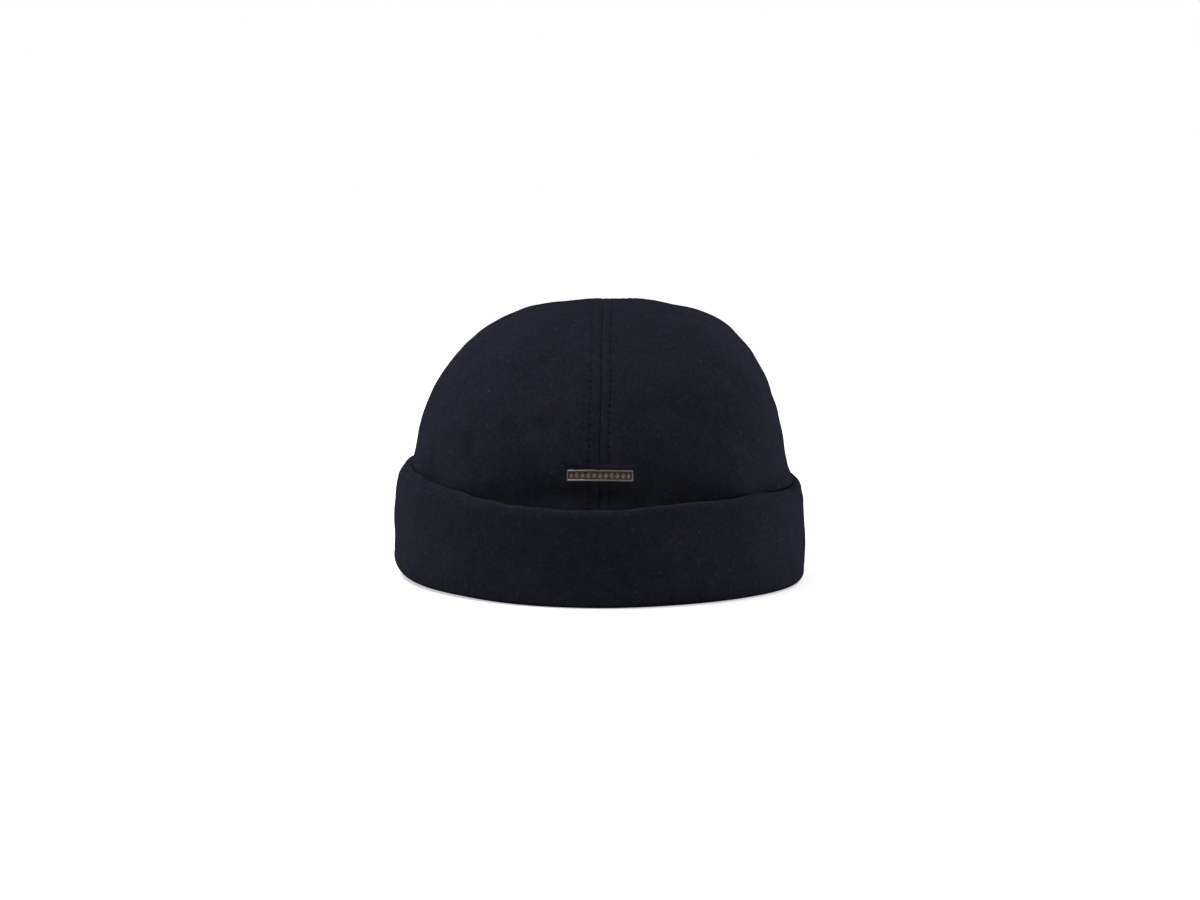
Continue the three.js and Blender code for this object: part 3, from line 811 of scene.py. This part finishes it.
def cuff_section(rim, stand, fold, flare, roll, side):
    """The strip's section at every station, as (distance outside the crown's outer face, height): first the
    side that shows, from the raw edge inside the crown to the raw edge inside the cuff, then back on the other
    side. The roll is even at the front. At the sides its crest leans in to the crown, and a long slope falls
    from it to the outside. Below the roll the inner layer leans against the crown."""
    half = math.pi / 2
    same = np.ones_like(rim)
    width = np.minimum(fold, stand + FOLD_UNDER)
    tall = roll * np.interp(side, (0, 1), ROLL["tall"])
    crest = roll * np.interp(side, (0, 1), ROLL["inwards"])
    air = np.maximum(stand - CUFF_LEAN + flare - 2 * roll - CONTACT, 0)

    def wall(shares, inwards, layer=0):
        u = np.asarray(shares)[None, :]
        lean = CUFF_LEAN * u**LEAN_POWER - flare[:, None] * ease(u, FLARE["from"], 1.0)
        against = layer * air[:, None] * (1 - ease(u, *SETTLED[1])) * ease(u, *SETTLED[0])
        s = stand[:, None] - lean - against - np.reshape(inwards, (-1, 1))
        return np.stack([s, fold[:, None] + (rim - tall - fold)[:, None] * u], axis=-1)

    def upright(s, heights):
        heights = np.tile(heights, (len(rim), 1))
        return np.stack([np.full_like(heights, s), heights], axis=-1)

    face = -CLOTH - HEM["gap"] - STRIP
    hem_s, hem_r = (face + HEM["radius"]) * same, HEM["radius"] * same
    middle, top = wall([1.0], roll)[:, 0], wall([1.0], roll + crest)[:, 0]
    rise = np.linspace(0, 1, WALL_STEPS + 1)[1:-1]
    up = np.linspace(HEM["height"], HEM["radius"], 8)[:-1]
    shown = [
        upright(face, up),
        arc(hem_s, hem_r, hem_r, hem_r, 2 * half, 3 * half, 6),
        arc(stand - width, fold, width, fold, -half, 0, 12),
        wall(rise, 0),
        arc(top[:, 0], top[:, 1], roll + crest, tall, 0, half, 11),
        arc(top[:, 0], top[:, 1], roll - crest, tall, half, 2 * half, 8)[:, 1:],
        wall([*rise[::-1], 0], 2 * roll, 1),
    ]
    hidden = [
        wall([0, *rise], 2 * roll - STRIP, 1),
        arc(middle[:, 0], middle[:, 1], roll - STRIP, tall - STRIP, 2 * half, 0, 4),
        wall(rise[::-1], STRIP),
        arc(stand - width, fold, width - STRIP, fold - STRIP, 0, -half, 8),
        arc(hem_s, hem_r, hem_r - STRIP, hem_r - STRIP, 3 * half, 2 * half, 3),
        upright(face + STRIP, up[::-1]),
    ]
    return np.concatenate(shown, axis=1), np.concatenate(hidden, axis=1)


print("the roll is", 2 * ROLL["half"][0], "mm thick at the front, up to", 2 * ROLL["half"][1], "at the sides")

# %% Round the hat
CUFF_SEAM = {"azimuth": 90.0, "round": 0.9}
CUFF_STATIONS = 420
SIDES = (0.3, 0.9)              # the front and back pass into the sides between these cosines of the azimuth
RIM_OVAL = (90.0, 108.0, 0.0)   # half the size of the rim, for the waves along it
RIM_WAVES = ((26.0, 0.45, 31),)                         # wavelength, height and seed of each
FACE_WAVES = ((30.0, 0.35, 37), (12.0, 0.12, 41))
FACE_FROM = ((1.5, 4.0), (2.0, 9.0))    # they grow between these distances from the crown, and heights
GROOVE_FROM = (0.3, 3.0)                # and the seam's groove between these heights
# The painted highlight along the roll's crest: its width in mm, its mean strength and how much that varies, and
# the wavelength and seed of its patches.
CREST_HIGHLIGHT = {"width": 1.4, "mean": 0.42, "varies": 0.36, "wave": 8.0, "seed": 61}


def cuff_points(azimuth, section):
    """Puts the section at each station: the crown's level at the same height, moved out by s."""
    theta = np.radians(azimuth)[:, None]
    s, z = section[..., 0], section[..., 1]
    m = row_at_height(z)
    side = np.where(np.cos(theta) < 0, crown_value("left", m), crown_value("right", m)) + s
    end = np.where(np.sin(theta) < 0, crown_value("front", m), crown_value("back", m)) + s
    x = side * np.cos(theta) * (1 + EGG * np.sin(theta)) + lean_at(z)
    return np.stack([x, end * np.sin(theta), z], axis=-1)


def cuff_stations():
    """Even azimuths, and a few close to the seam at the back, so that its groove is round."""
    reach = math.degrees(CUFF_SEAM["round"] / CROWN_ROWS["right"][0])
    close = round_steps(reach, 6)
    close = CUFF_SEAM["azimuth"] + np.concatenate([-close[::-1], close[1:]])
    even = np.linspace(-180, 180, CUFF_STATIONS, endpoint=False)
    return np.sort(np.concatenate([even[np.abs(even - CUFF_SEAM["azimuth"]) > reach], close]))


def outward(section):
    """The direction square to the section at each point: the step from the last point to the next, turned."""
    step = np.roll(section, -1, axis=1) - np.roll(section, 1, axis=1)
    return unit(np.stack([step[..., 1], -step[..., 0]], axis=-1))


def cuff_relief(section, plain, azimuth):
    """How far each point of the side that shows is raised: soft waves on the face, less the seam's groove."""
    s, z = section[..., 0], section[..., 1]
    off_seam = np.radians(np.abs(azimuth - CUFF_SEAM["azimuth"])) * CROWN_ROWS["right"][0]
    groove = rounding(off_seam, CUFF_SEAM["round"])[:, None] * ease(z, *GROOVE_FROM)
    return sum_of_waves(plain, FACE_WAVES) * ease(s, *FACE_FROM[0]) * ease(z, *FACE_FROM[1]) - groove


def crest_highlight_amount(section, placed):
    """How much painted highlight each point gets, for light from above on the roll: it falls off with the
    distance along the section from the highest point, and soft waves make it patchy."""
    way_round = path_lengths(section)
    crest = np.argmax(section[..., 1], axis=1)
    from_crest = way_round - np.take_along_axis(way_round, crest[:, None], axis=1)
    patchy = CREST_HIGHLIGHT["mean"] + CREST_HIGHLIGHT["varies"] * soft_waves(placed, CREST_HIGHLIGHT["wave"], CREST_HIGHLIGHT["seed"])
    return np.clip(bell(from_crest, 0.0, CREST_HIGHLIGHT["width"]) * patchy, 0, 1)


azimuth = cuff_stations()
around_hat = np.radians(azimuth)
oval = np.stack([np.cos(around_hat), np.sin(around_hat), 0 * azimuth], -1) * RIM_OVAL
rim = cuff_value("rim", azimuth) + sum_of_waves(oval, RIM_WAVES)
print(f"{len(azimuth)} stations, and the rim with its waves is {rim.min():.1f} to {rim.max():.1f} mm high")

# %% Cuff
flare = FLARE["out"] * bell(azimuth, FLARE["azimuth"], FLARE["spread"])
stand = cuff_value("stand", azimuth)
side = ease(np.abs(np.cos(around_hat)), *SIDES)
roll = np.clip((stand - CUFF_LEAN + flare - CONTACT) / 2, *ROLL["half"])
roll = ROLL["half"][0] + (roll - ROLL["half"][0]) * side
shown, hidden = cuff_section(rim, stand, cuff_value("fold", azimuth), flare, roll, side)
section = np.concatenate([shown, hidden], axis=1)
is_shown = np.arange(section.shape[1]) < shown.shape[1]
raised = cuff_relief(section, cuff_points(azimuth, section), azimuth) * is_shown
section = section + outward(section) * raised[..., None]
placed = cuff_points(azimuth, section)
stations, around = section.shape[:2]
cuff = new_piece("cuff_cloth", placed.reshape(-1, 3), ring_faces(stations, around, True),
                 slot="cuff_wool", stands_for=["cuff"], material=cuff_wool)
# The cuff's attribute holds the painted highlight along the roll's crest, on the side that shows.
add_point_values(cuff, "painted_crest_highlight", crest_highlight_amount(section, placed) * is_shown)

strip_length, strip_width = path_lengths(placed[:, around // 4])[-1], path_lengths(shown[0])[-1]
print(f"the strip is about {strip_length:.0f} mm long and {strip_width:.0f} mm wide")

# %% [markdown]
# ## Rows of stitches
#
# On the hat a lockstitch machine runs along both sides of every crown seam, about 4 mm from it, with
# stitches a little under 3 mm long. What shows of each stitch is a short piece of thread that comes out of
# one hole, bows over the cloth and goes down the next. One closed, bowed capsule of a few faces stands for
# it. All of them are worked out at once from the holes, which lie on the cloth's own surface, in the channel.

# %% Stitches
THREAD_RADIUS = 0.2
THREAD_RISE = 0.12      # how far a stitch bows over flat cloth
THREAD_SINK = 0.1       # how far its ends lie below the cloth
STITCH_SHORTER = 0.09   # the share of the step between two holes that is left at each end
FIRST_STITCH = 12.0
STITCH_SIDES = 6
STITCH_RINGS = np.array([0.03, 0.16, 0.5, 0.84, 0.97])


def capsules(starts, ends, outs, bow):
    """Closed bowed capsules from start to end. The middle line rises by bow, one number or one for each
    capsule, as a parabola, both ends sink below the cloth, and the radius follows a flattened circle."""
    bow = np.reshape(bow, (-1, 1, 1))
    t = STITCH_RINGS[None, :, None]
    way = (ends - starts)[:, None, :]
    out = outs[:, None, :]
    across = unit(np.cross(out, way))
    middle = starts[:, None, :] + way * t + out * (4 * bow * t * (1 - t) - THREAD_SINK)
    size = THREAD_RADIUS * np.sqrt(1 - (2 * t - 1) ** 6)
    angle = np.linspace(0, 2 * np.pi, STITCH_SIDES, endpoint=False)[None, None, :, None]
    rings = (middle + 0 * across)[:, :, None, :] + size[..., None] * (
        across[:, :, None, :] * np.cos(angle) + out[:, :, None, :] * np.sin(angle))
    poles = np.stack([starts, ends], axis=1) - out * THREAD_SINK
    size_of_one = (len(STITCH_RINGS), STITCH_SIDES)
    count = len(STITCH_RINGS) * STITCH_SIDES
    points = np.concatenate([rings.reshape(len(starts), count, 3), poles], axis=1)
    base = (np.arange(len(starts)) * (count + 2))[:, None, None]
    quads, fans = ring_faces(*size_of_one) + base, end_fans(*size_of_one) + base
    return points.reshape(-1, 3), quads.reshape(-1, 4), fans.reshape(-1, 3)


def stitch_row(holes, outs):
    """The stitches between neighbouring holes, each a little shorter than the step between them."""
    left = STITCH_SHORTER * (holes[1:] - holes[:-1])
    return holes[:-1] + left, holes[1:] - left, unit(outs[1:] + outs[:-1])


def seam_holes(quarter, seam):
    """Row numbers and angles of the holes beside one seam of a panel: equal steps along the seam, at the
    distance of the stitch line, up to where the row meets the one beside the other seam."""
    fine = np.linspace(0, LAST_ROW, 3001)
    along = length_along(quarter, SEAM_ANGLE[seam], fine)
    pitch, line = stitch_pitch(quarter, seam), stitch_line(quarter, seam)
    m = np.interp(np.arange(math.ceil(FIRST_STITCH / pitch), STITCH_COUNT) * pitch, along, fine)
    across = crown_value(quarter.side, m) * (1 + EGG * quarter.y)
    lengthways = crown_value(quarter.end, m)
    if seam == "middle":
        phi = np.arccos(np.clip(line / across, 0, 1))
        other = lengthways * np.sin(phi)
    else:
        phi = np.arcsin(np.clip(line / lengthways, 0, 1))
        other = across * np.cos(phi)
    keep = other > STITCH_LINE
    return m[keep], phi[keep]


def make_crown_stitches():
    """Both faces of every row beside the crown's seams, as one piece. A stitch's ends lie in its holes, so
    outside it bows up over the cloth between them, and inside, where the pits stand out, it bows down to it."""
    rows = []
    for quarter in QUARTERS:
        for seam in ("middle", "side"):
            m, phi = seam_holes(quarter, seam)
            outer, inner, normal = panel_faces(quarter, phi, m)
            pit = HOLE["depth"] * relief_share(outer[1:])
            rows.append((*stitch_row(outer, normal), THREAD_RISE + pit))
            rows.append((*stitch_row(inner, -normal), THREAD_RISE - pit))
    starts, ends, outs, bows = (np.concatenate(column) for column in zip(*rows))
    print(len(starts), "stitches beside the crown seams")
    new_piece("crown_topstitch", *capsules(starts, ends, outs, bows), material=thread)


make_crown_stitches()

# %% [markdown]
# Inside the hat a row of the same stitches holds the cuff's turned-up edge to the crown. It lies on the
# hem, a little above the bottom fold, and runs all the way round.

# %% Hem stitches
HEM_STITCH = {"z": 5.5, "pitch": 3.0, "bow": 0.16}


def on_hem(azimuth):
    """Points on the hem's face at the height of its stitches."""
    level = np.array([-CLOTH - HEM["gap"] - STRIP, HEM_STITCH["z"]])
    return cuff_points(azimuth, np.tile(level, (len(azimuth), 1, 1)))[:, 0]


fine_azimuth = np.linspace(-180, 180, 2881)
hem_length = path_lengths(on_hem(fine_azimuth))
hem_count = int(hem_length[-1] / HEM_STITCH["pitch"])
hem_holes = on_hem(np.interp(np.linspace(0, hem_length[-1], hem_count + 1), hem_length, fine_azimuth))
hem_inwards = unit(-hem_holes / [CROWN_ROWS["left"][0] ** 2, CROWN_ROWS["front"][0] ** 2, np.inf])
new_piece("hem_stitches", *capsules(*stitch_row(hem_holes, hem_inwards), HEM_STITCH["bow"]),
          slot="cuff_wool", material=thread)

# %% [markdown]
# ## The plate
#
# A small plate stamped from sheet metal: a raised frame round a sunken floor, and a row of low four-sided
# points on the floor. Its front is one height above a flat rectangle, worked out from the distance to the
# edge and to the nearest point's middle. Then the whole plate is bent round the crown. The height also
# goes into an attribute, because handling polishes what stands out and leaves the floor dark.

# %% The plate's place
PLATE = {"length": 26.4, "height": 4.5, "thickness": 1.2, "floor": 0.7, "frame": 0.5, "slope": (0.45, 0.75),
         "z": 52.75, "gap": 0.3, "corner": 0.5, "edge": 0.22, "back_edge": 0.15}

plate_row = row_at_height(PLATE["z"])
plate_at = crown_surface(QUARTERS[0], math.pi / 2, plate_row)
plate_out = crown_normal(QUARTERS[0], math.pi / 2, plate_row)
plate_out = np.array([0.0, plate_out[1], plate_out[2]]) / math.hypot(plate_out[1], plate_out[2])
plate_up = np.array([0.0, plate_out[2], -plate_out[1]])
plate_bend = (crown_value("left", plate_row) * (1 - EGG)) ** 2 / crown_value("front", plate_row)


def bent_round_crown(u, v, w):
    """Takes points from the flat plate, u along it, v up and w outwards, to their place on the crown: u becomes
    an angle round a cylinder of the crown's own curve."""
    angle = u / plate_bend
    sideways = (plate_bend + w) * np.sin(angle)
    outwards = (plate_bend + w) * np.cos(angle) - plate_bend + PLATE["gap"]
    along = np.array([1.0, 0.0, 0.0])
    return plate_at + sideways[..., None] * along + v[..., None] * plate_up + outwards[..., None] * plate_out


print("the plate lies at", plate_at.round(1), "and is bent to a radius of", round(plate_bend, 1), "mm")

# %% Plate
STUD = {"count": 11, "radius": 1.15, "height": 0.62, "tall": 1.75, "flat": 0.34}
METAL_WAVES = ((1.4, 0.02, 51), (0.6, 0.012, 53))
PLATE_GRID = {"along": 0.13, "up": 0.1}


def inside_edge(u, v):
    """Distance in from the edge of a rectangle with rounded corners."""
    corner = PLATE["corner"]
    past_u = np.abs(u) - PLATE["length"] / 2 + corner
    past_v = np.abs(v) - PLATE["height"] / 2 + corner
    outside = np.hypot(np.maximum(past_u, 0), np.maximum(past_v, 0))
    return corner - outside - np.minimum(np.maximum(past_u, past_v), 0)


def plate_front(u, v):
    """Height of the plate's front: the frame, a slope down to the floor, and the points on the floor, whose
    height falls with |u| + |v| from each middle and whose tips are worn flat. The edges are rounded and the
    metal is a little uneven."""
    edge = inside_edge(u, v)
    rise = PLATE["thickness"] - PLATE["floor"]
    height = PLATE["floor"] + rise * (1 - ease(edge, *PLATE["slope"]))
    pitch = (PLATE["length"] - 2 * PLATE["frame"]) / STUD["count"]
    nearest = (u / pitch + STUD["count"] % 2 / 2) % 1 - 0.5
    away = np.abs(nearest * pitch) / STUD["radius"] + np.abs(v) / STUD["tall"]
    inside = np.abs(u) < pitch * STUD["count"] / 2
    stud = np.clip((1.0 - away) * STUD["height"], 0, STUD["flat"]) * inside
    uneven = sum_of_waves(np.stack([u, v, 0 * u], axis=-1), METAL_WAVES)
    return height + stud + uneven - rounding(edge, PLATE["edge"])


def edge_spaced(half, spacing):
    """Values from -half to half: even in the middle, and close together where the edge is rounded."""
    near = round_steps(PLATE["edge"], 5)
    middle = np.linspace(-half + PLATE["edge"], half - PLATE["edge"], int(2 * half / spacing))
    return np.concatenate([-half + near[:-1], middle, half - near[-2::-1]])


def make_plate():
    """A closed plate: each ring crosses the front and comes back across the flat back."""
    u = edge_spaced(PLATE["length"] / 2, PLATE_GRID["along"])[:, None]
    v = edge_spaced(PLATE["height"] / 2, PLATE_GRID["up"])[None, :]
    past = np.maximum(np.abs(u) - PLATE["length"] / 2 + PLATE["corner"], 0)
    half = PLATE["height"] / 2 - PLATE["corner"] + np.sqrt(np.maximum(PLATE["corner"] ** 2 - past**2, 0))
    u, v = np.broadcast_arrays(u, v * half / (PLATE["height"] / 2))
    front = plate_front(u, v)
    back = rounding(inside_edge(u, v), PLATE["back_edge"])
    placed = np.concatenate([bent_round_crown(u, v, front), bent_round_crown(u, v, back)[:, ::-1]], axis=1)
    rings, columns = u.shape
    count = 2 * columns
    cap = strip_across(columns)
    quads = np.concatenate([ring_faces(rings, count), cap, (rings - 1) * count + cap[:, ::-1]])
    piece = new_piece("front_plate_face", placed.reshape(-1, 3), quads, slot="plate_metal",
                      stands_for=["front_plate"], material=bronze)
    worn = ease(front, PLATE["floor"], PLATE["thickness"])
    add_point_values(piece, "wear", np.concatenate([worn, 0 * back], axis=1))


make_plate()

# %% [markdown]
# Two prongs hold the plate. Each starts at its back, passes through the cloth and is bent outwards inside
# the hat. A closed strip of rings that follows this way, drawn in to a blunt tip, makes one.

# %% Prongs
PRONG = {"from_middle": 10.0, "thickness": 0.6, "width": 2.0, "tail": 4.0, "behind": 0.5, "root": 0.2,
         "bend": 0.7}
# The rings of the tail: how far from the tip each one is, and its size.
TAIL = np.array([(2.2, 1.0), (1.5, 1.0), (0.8, 1.0), (0.45, 0.93), (0.2, 0.8), (0.06, 0.6), (0.0, 0.35)])
SQUARED = (0.45, 0.3)       # the lower these powers are, the more the prong's section fills its corners


def prong(way):
    """Rings of one prong: a flat strip with rounded edges, carried from the plate's back through the cloth,
    round a bend and outwards along the inside. Its end is drawn in to a blunt tip."""
    depth = PLATE["gap"] + CLOTH + PRONG["behind"] + PRONG["thickness"] / 2
    bend, foot = PRONG["bend"], PRONG["from_middle"]
    turn = np.linspace(0, math.pi / 2, 8)
    leg = np.stack([np.full(6, foot), np.linspace(PRONG["root"], bend - depth, 6)], axis=-1)
    curve = np.stack([foot + bend * (1 - np.cos(turn)), bend - depth - bend * np.sin(turn)], axis=-1)
    far = foot - PRONG["thickness"] / 2 + PRONG["tail"]
    tail = np.stack([far - TAIL[:, 0], np.full(len(TAIL), -depth)], axis=-1)
    path = np.concatenate([leg, curve[1:], tail])
    heading = unit(np.gradient(path, axis=0))
    narrow = np.concatenate([np.ones(len(path) - len(TAIL)), TAIL[:, 1]])[:, None]
    angle = np.linspace(0, 2 * np.pi, 20, endpoint=False)
    thick = np.sign(np.cos(angle)) * np.abs(np.cos(angle)) ** SQUARED[0] * PRONG["thickness"] / 2
    wide = np.sign(np.sin(angle)) * np.abs(np.sin(angle)) ** SQUARED[1] * PRONG["width"] / 2
    u = path[:, :1] + heading[:, 1:] * thick * narrow
    w = path[:, 1:] - heading[:, :1] * thick * narrow
    return bent_round_crown(way * u, wide * narrow, w)


def make_prongs():
    """Both prongs as one piece, each closed by a fan at either end."""
    points, quads, triangles, base = [], [], [], 0
    for way in (-1, 1):
        rings = prong(way)
        rows, count = rings.shape[:2]
        points.append(np.concatenate([rings.reshape(-1, 3), rings[[0, -1]].mean(axis=1)]))
        quads.append(base + ring_faces(rows, count)[:, ::way])
        triangles.append(base + end_fans(rows, count)[:, ::way])
        base += rows * count + 2
    new_piece("front_plate_prongs", np.concatenate(points), np.concatenate(quads),
              np.concatenate(triangles), "plate_metal", ["front_plate"], bronze)


make_prongs()

# %% [markdown]
# ## Camera, floor and light
#
# The camera stands 1.4 m in front of the hat, 5 degrees above it, with a long lens.
#
# The hat lies on a white floor in a white studio. Dark wool shows its form only by soft differences, and
# light that comes from everywhere would wash them out. So large lamps light it from high above, the
# strongest a little to the left, and small ones low at the sides draw the edges. White paper and a white
# sky of the strength that the picture needs would fill every shade again. A studio solves that by
# lighting the backdrop apart from the subject, and here the backdrop's glow reaches only the camera.

# %% Camera
CAMERA = {"target": (0.0, 0.0, 60.0), "distance": 1400.0, "elevation": 4.895, "roll": 0.418,
          "lens": 96.93, "sensor": 36.0, "shift": (0.000475, -0.01133), "clip": (0.05, 50.0)}


def place_camera():
    """Puts the camera where the photograph was taken from: so far from the target, raised by the elevation,
    and rolled a little about the line of sight."""
    data = bpy.data.cameras.new("camera")
    data.sensor_width, data.lens = CAMERA["sensor"], CAMERA["lens"]
    data.shift_x, data.shift_y = CAMERA["shift"]
    data.clip_start, data.clip_end = CAMERA["clip"]
    camera = add_object("camera", data)
    raised = math.radians(CAMERA["elevation"])
    back = Vector((0.0, -math.cos(raised), math.sin(raised)))
    camera.location = (Vector(CAMERA["target"]) + back * CAMERA["distance"]) * MM
    camera.rotation_mode = "QUATERNION"
    roll = Quaternion((0, 0, 1), math.radians(CAMERA["roll"]))
    camera.rotation_quaternion = (-back).to_track_quat("-Z", "Y") @ roll
    bpy.context.scene.camera = camera
    print("camera at", [round(part, 3) for part in camera.location])


place_camera()

# %% Floor and light
LAMPS = [       # name, place and size in metres, power in watts
    ("overhead", (-0.56, -0.14, 1.4), 0.6, 13.0),
    ("upper_right", (0.85, -0.34, 1.2), 0.9, 4.2),
    ("upper_left", (-0.85, -0.29, 1.3), 0.9, 1.5),
    ("right_behind", (0.65, 0.46, 0.02), 0.16, 4.0),
    ("left_behind", (-0.65, 0.46, 0.07), 0.16, 1.7),
    ("right", (0.75, -0.1, 0.06), 0.2, 0.9),
    ("left", (-0.75, -0.1, 0.1), 0.2, 0.1),
]
AIM = (0, 0, 0.05)  # what the lamps point at
WHITE = 1.0         # how bright the sky is to the camera
SKY_LIGHT = 0.01    # and how bright to everything else
# contact is how far from the cuff the shade on the floor reaches, in metres, and darkest is how deep it is.
FLOOR = {"radius": 12.0, "corners": 96, "colour": 0.92, "glow": 1.0, "contact": 0.03, "darkest": 0.45}


def seen_or_lit(tree, seen, lit):
    """A strength that has one value for what the camera sees and another for the light on the hat."""
    camera_ray = add_node(tree, "ShaderNodeLightPath").outputs["Is Camera Ray"]
    return stretched(tree, camera_ray, after=(lit, seen))


def make_floor():
    """A flat disc far larger than the view, of white paper. Its glow is only for the camera, and it weakens
    where the hat shuts out the sky close by, which leaves a soft shade along the cuff's foot."""
    turn = np.linspace(0, 2 * np.pi, FLOOR["corners"], endpoint=False)
    edge = np.stack([FLOOR["radius"] * np.cos(turn), FLOOR["radius"] * np.sin(turn), 0 * turn], -1)
    mesh = bpy.data.meshes.new("floor")
    mesh.from_pydata(edge.tolist(), [], [list(range(len(edge)))])
    paper = (FLOOR["colour"],) * 3
    finish = {"Base Color": (*paper, 1), "Roughness": 0.9, "Specular IOR Level": 0.1}
    material, tree, shader, _ = new_material("floor paper", paper, finish)
    feed(tree, shader.inputs["Emission Strength"], seen_or_lit(tree, FLOOR["glow"], 0.0))
    sky_seen = add_node(tree, "ShaderNodeAmbientOcclusion", {"samples": 8}, Distance=FLOOR["contact"])
    shade = stretched(tree, sky_seen.outputs["AO"], after=(FLOOR["darkest"], 1.0))
    feed(tree, shader.inputs["Emission Color"], shade)
    mesh.materials.append(material)
    floor = add_object("floor", mesh)


def make_sky():
    """A plain sky, white to the camera and nearly dark to the hat, so that the lamps shape it."""
    world = bpy.data.worlds.new("studio")
    bpy.context.scene.world = world
    world.use_nodes = True
    sky = world.node_tree.nodes["Background"]
    sky.inputs["Color"].default_value = (1, 1, 1, 1)
    feed(world.node_tree, sky.inputs["Strength"], seen_or_lit(world.node_tree, WHITE, SKY_LIGHT))


def make_lamp(name, place, size, power):
    """A square area lamp that faces the hat and that the camera doesn't see."""
    data = bpy.data.lights.new(name, "AREA")
    data.size, data.energy = size, power
    lamp = add_object(name, data)
    lamp.location = place
    lamp.rotation_euler = (Vector(AIM) - Vector(place)).to_track_quat("-Z", "Y").to_euler()
    lamp.visible_camera = False


make_floor()
make_sky()
for lamp in LAMPS:
    make_lamp(*lamp)
bpy.context.scene.view_settings.view_transform = "Standard"
print(len(LAMPS), "lamps")
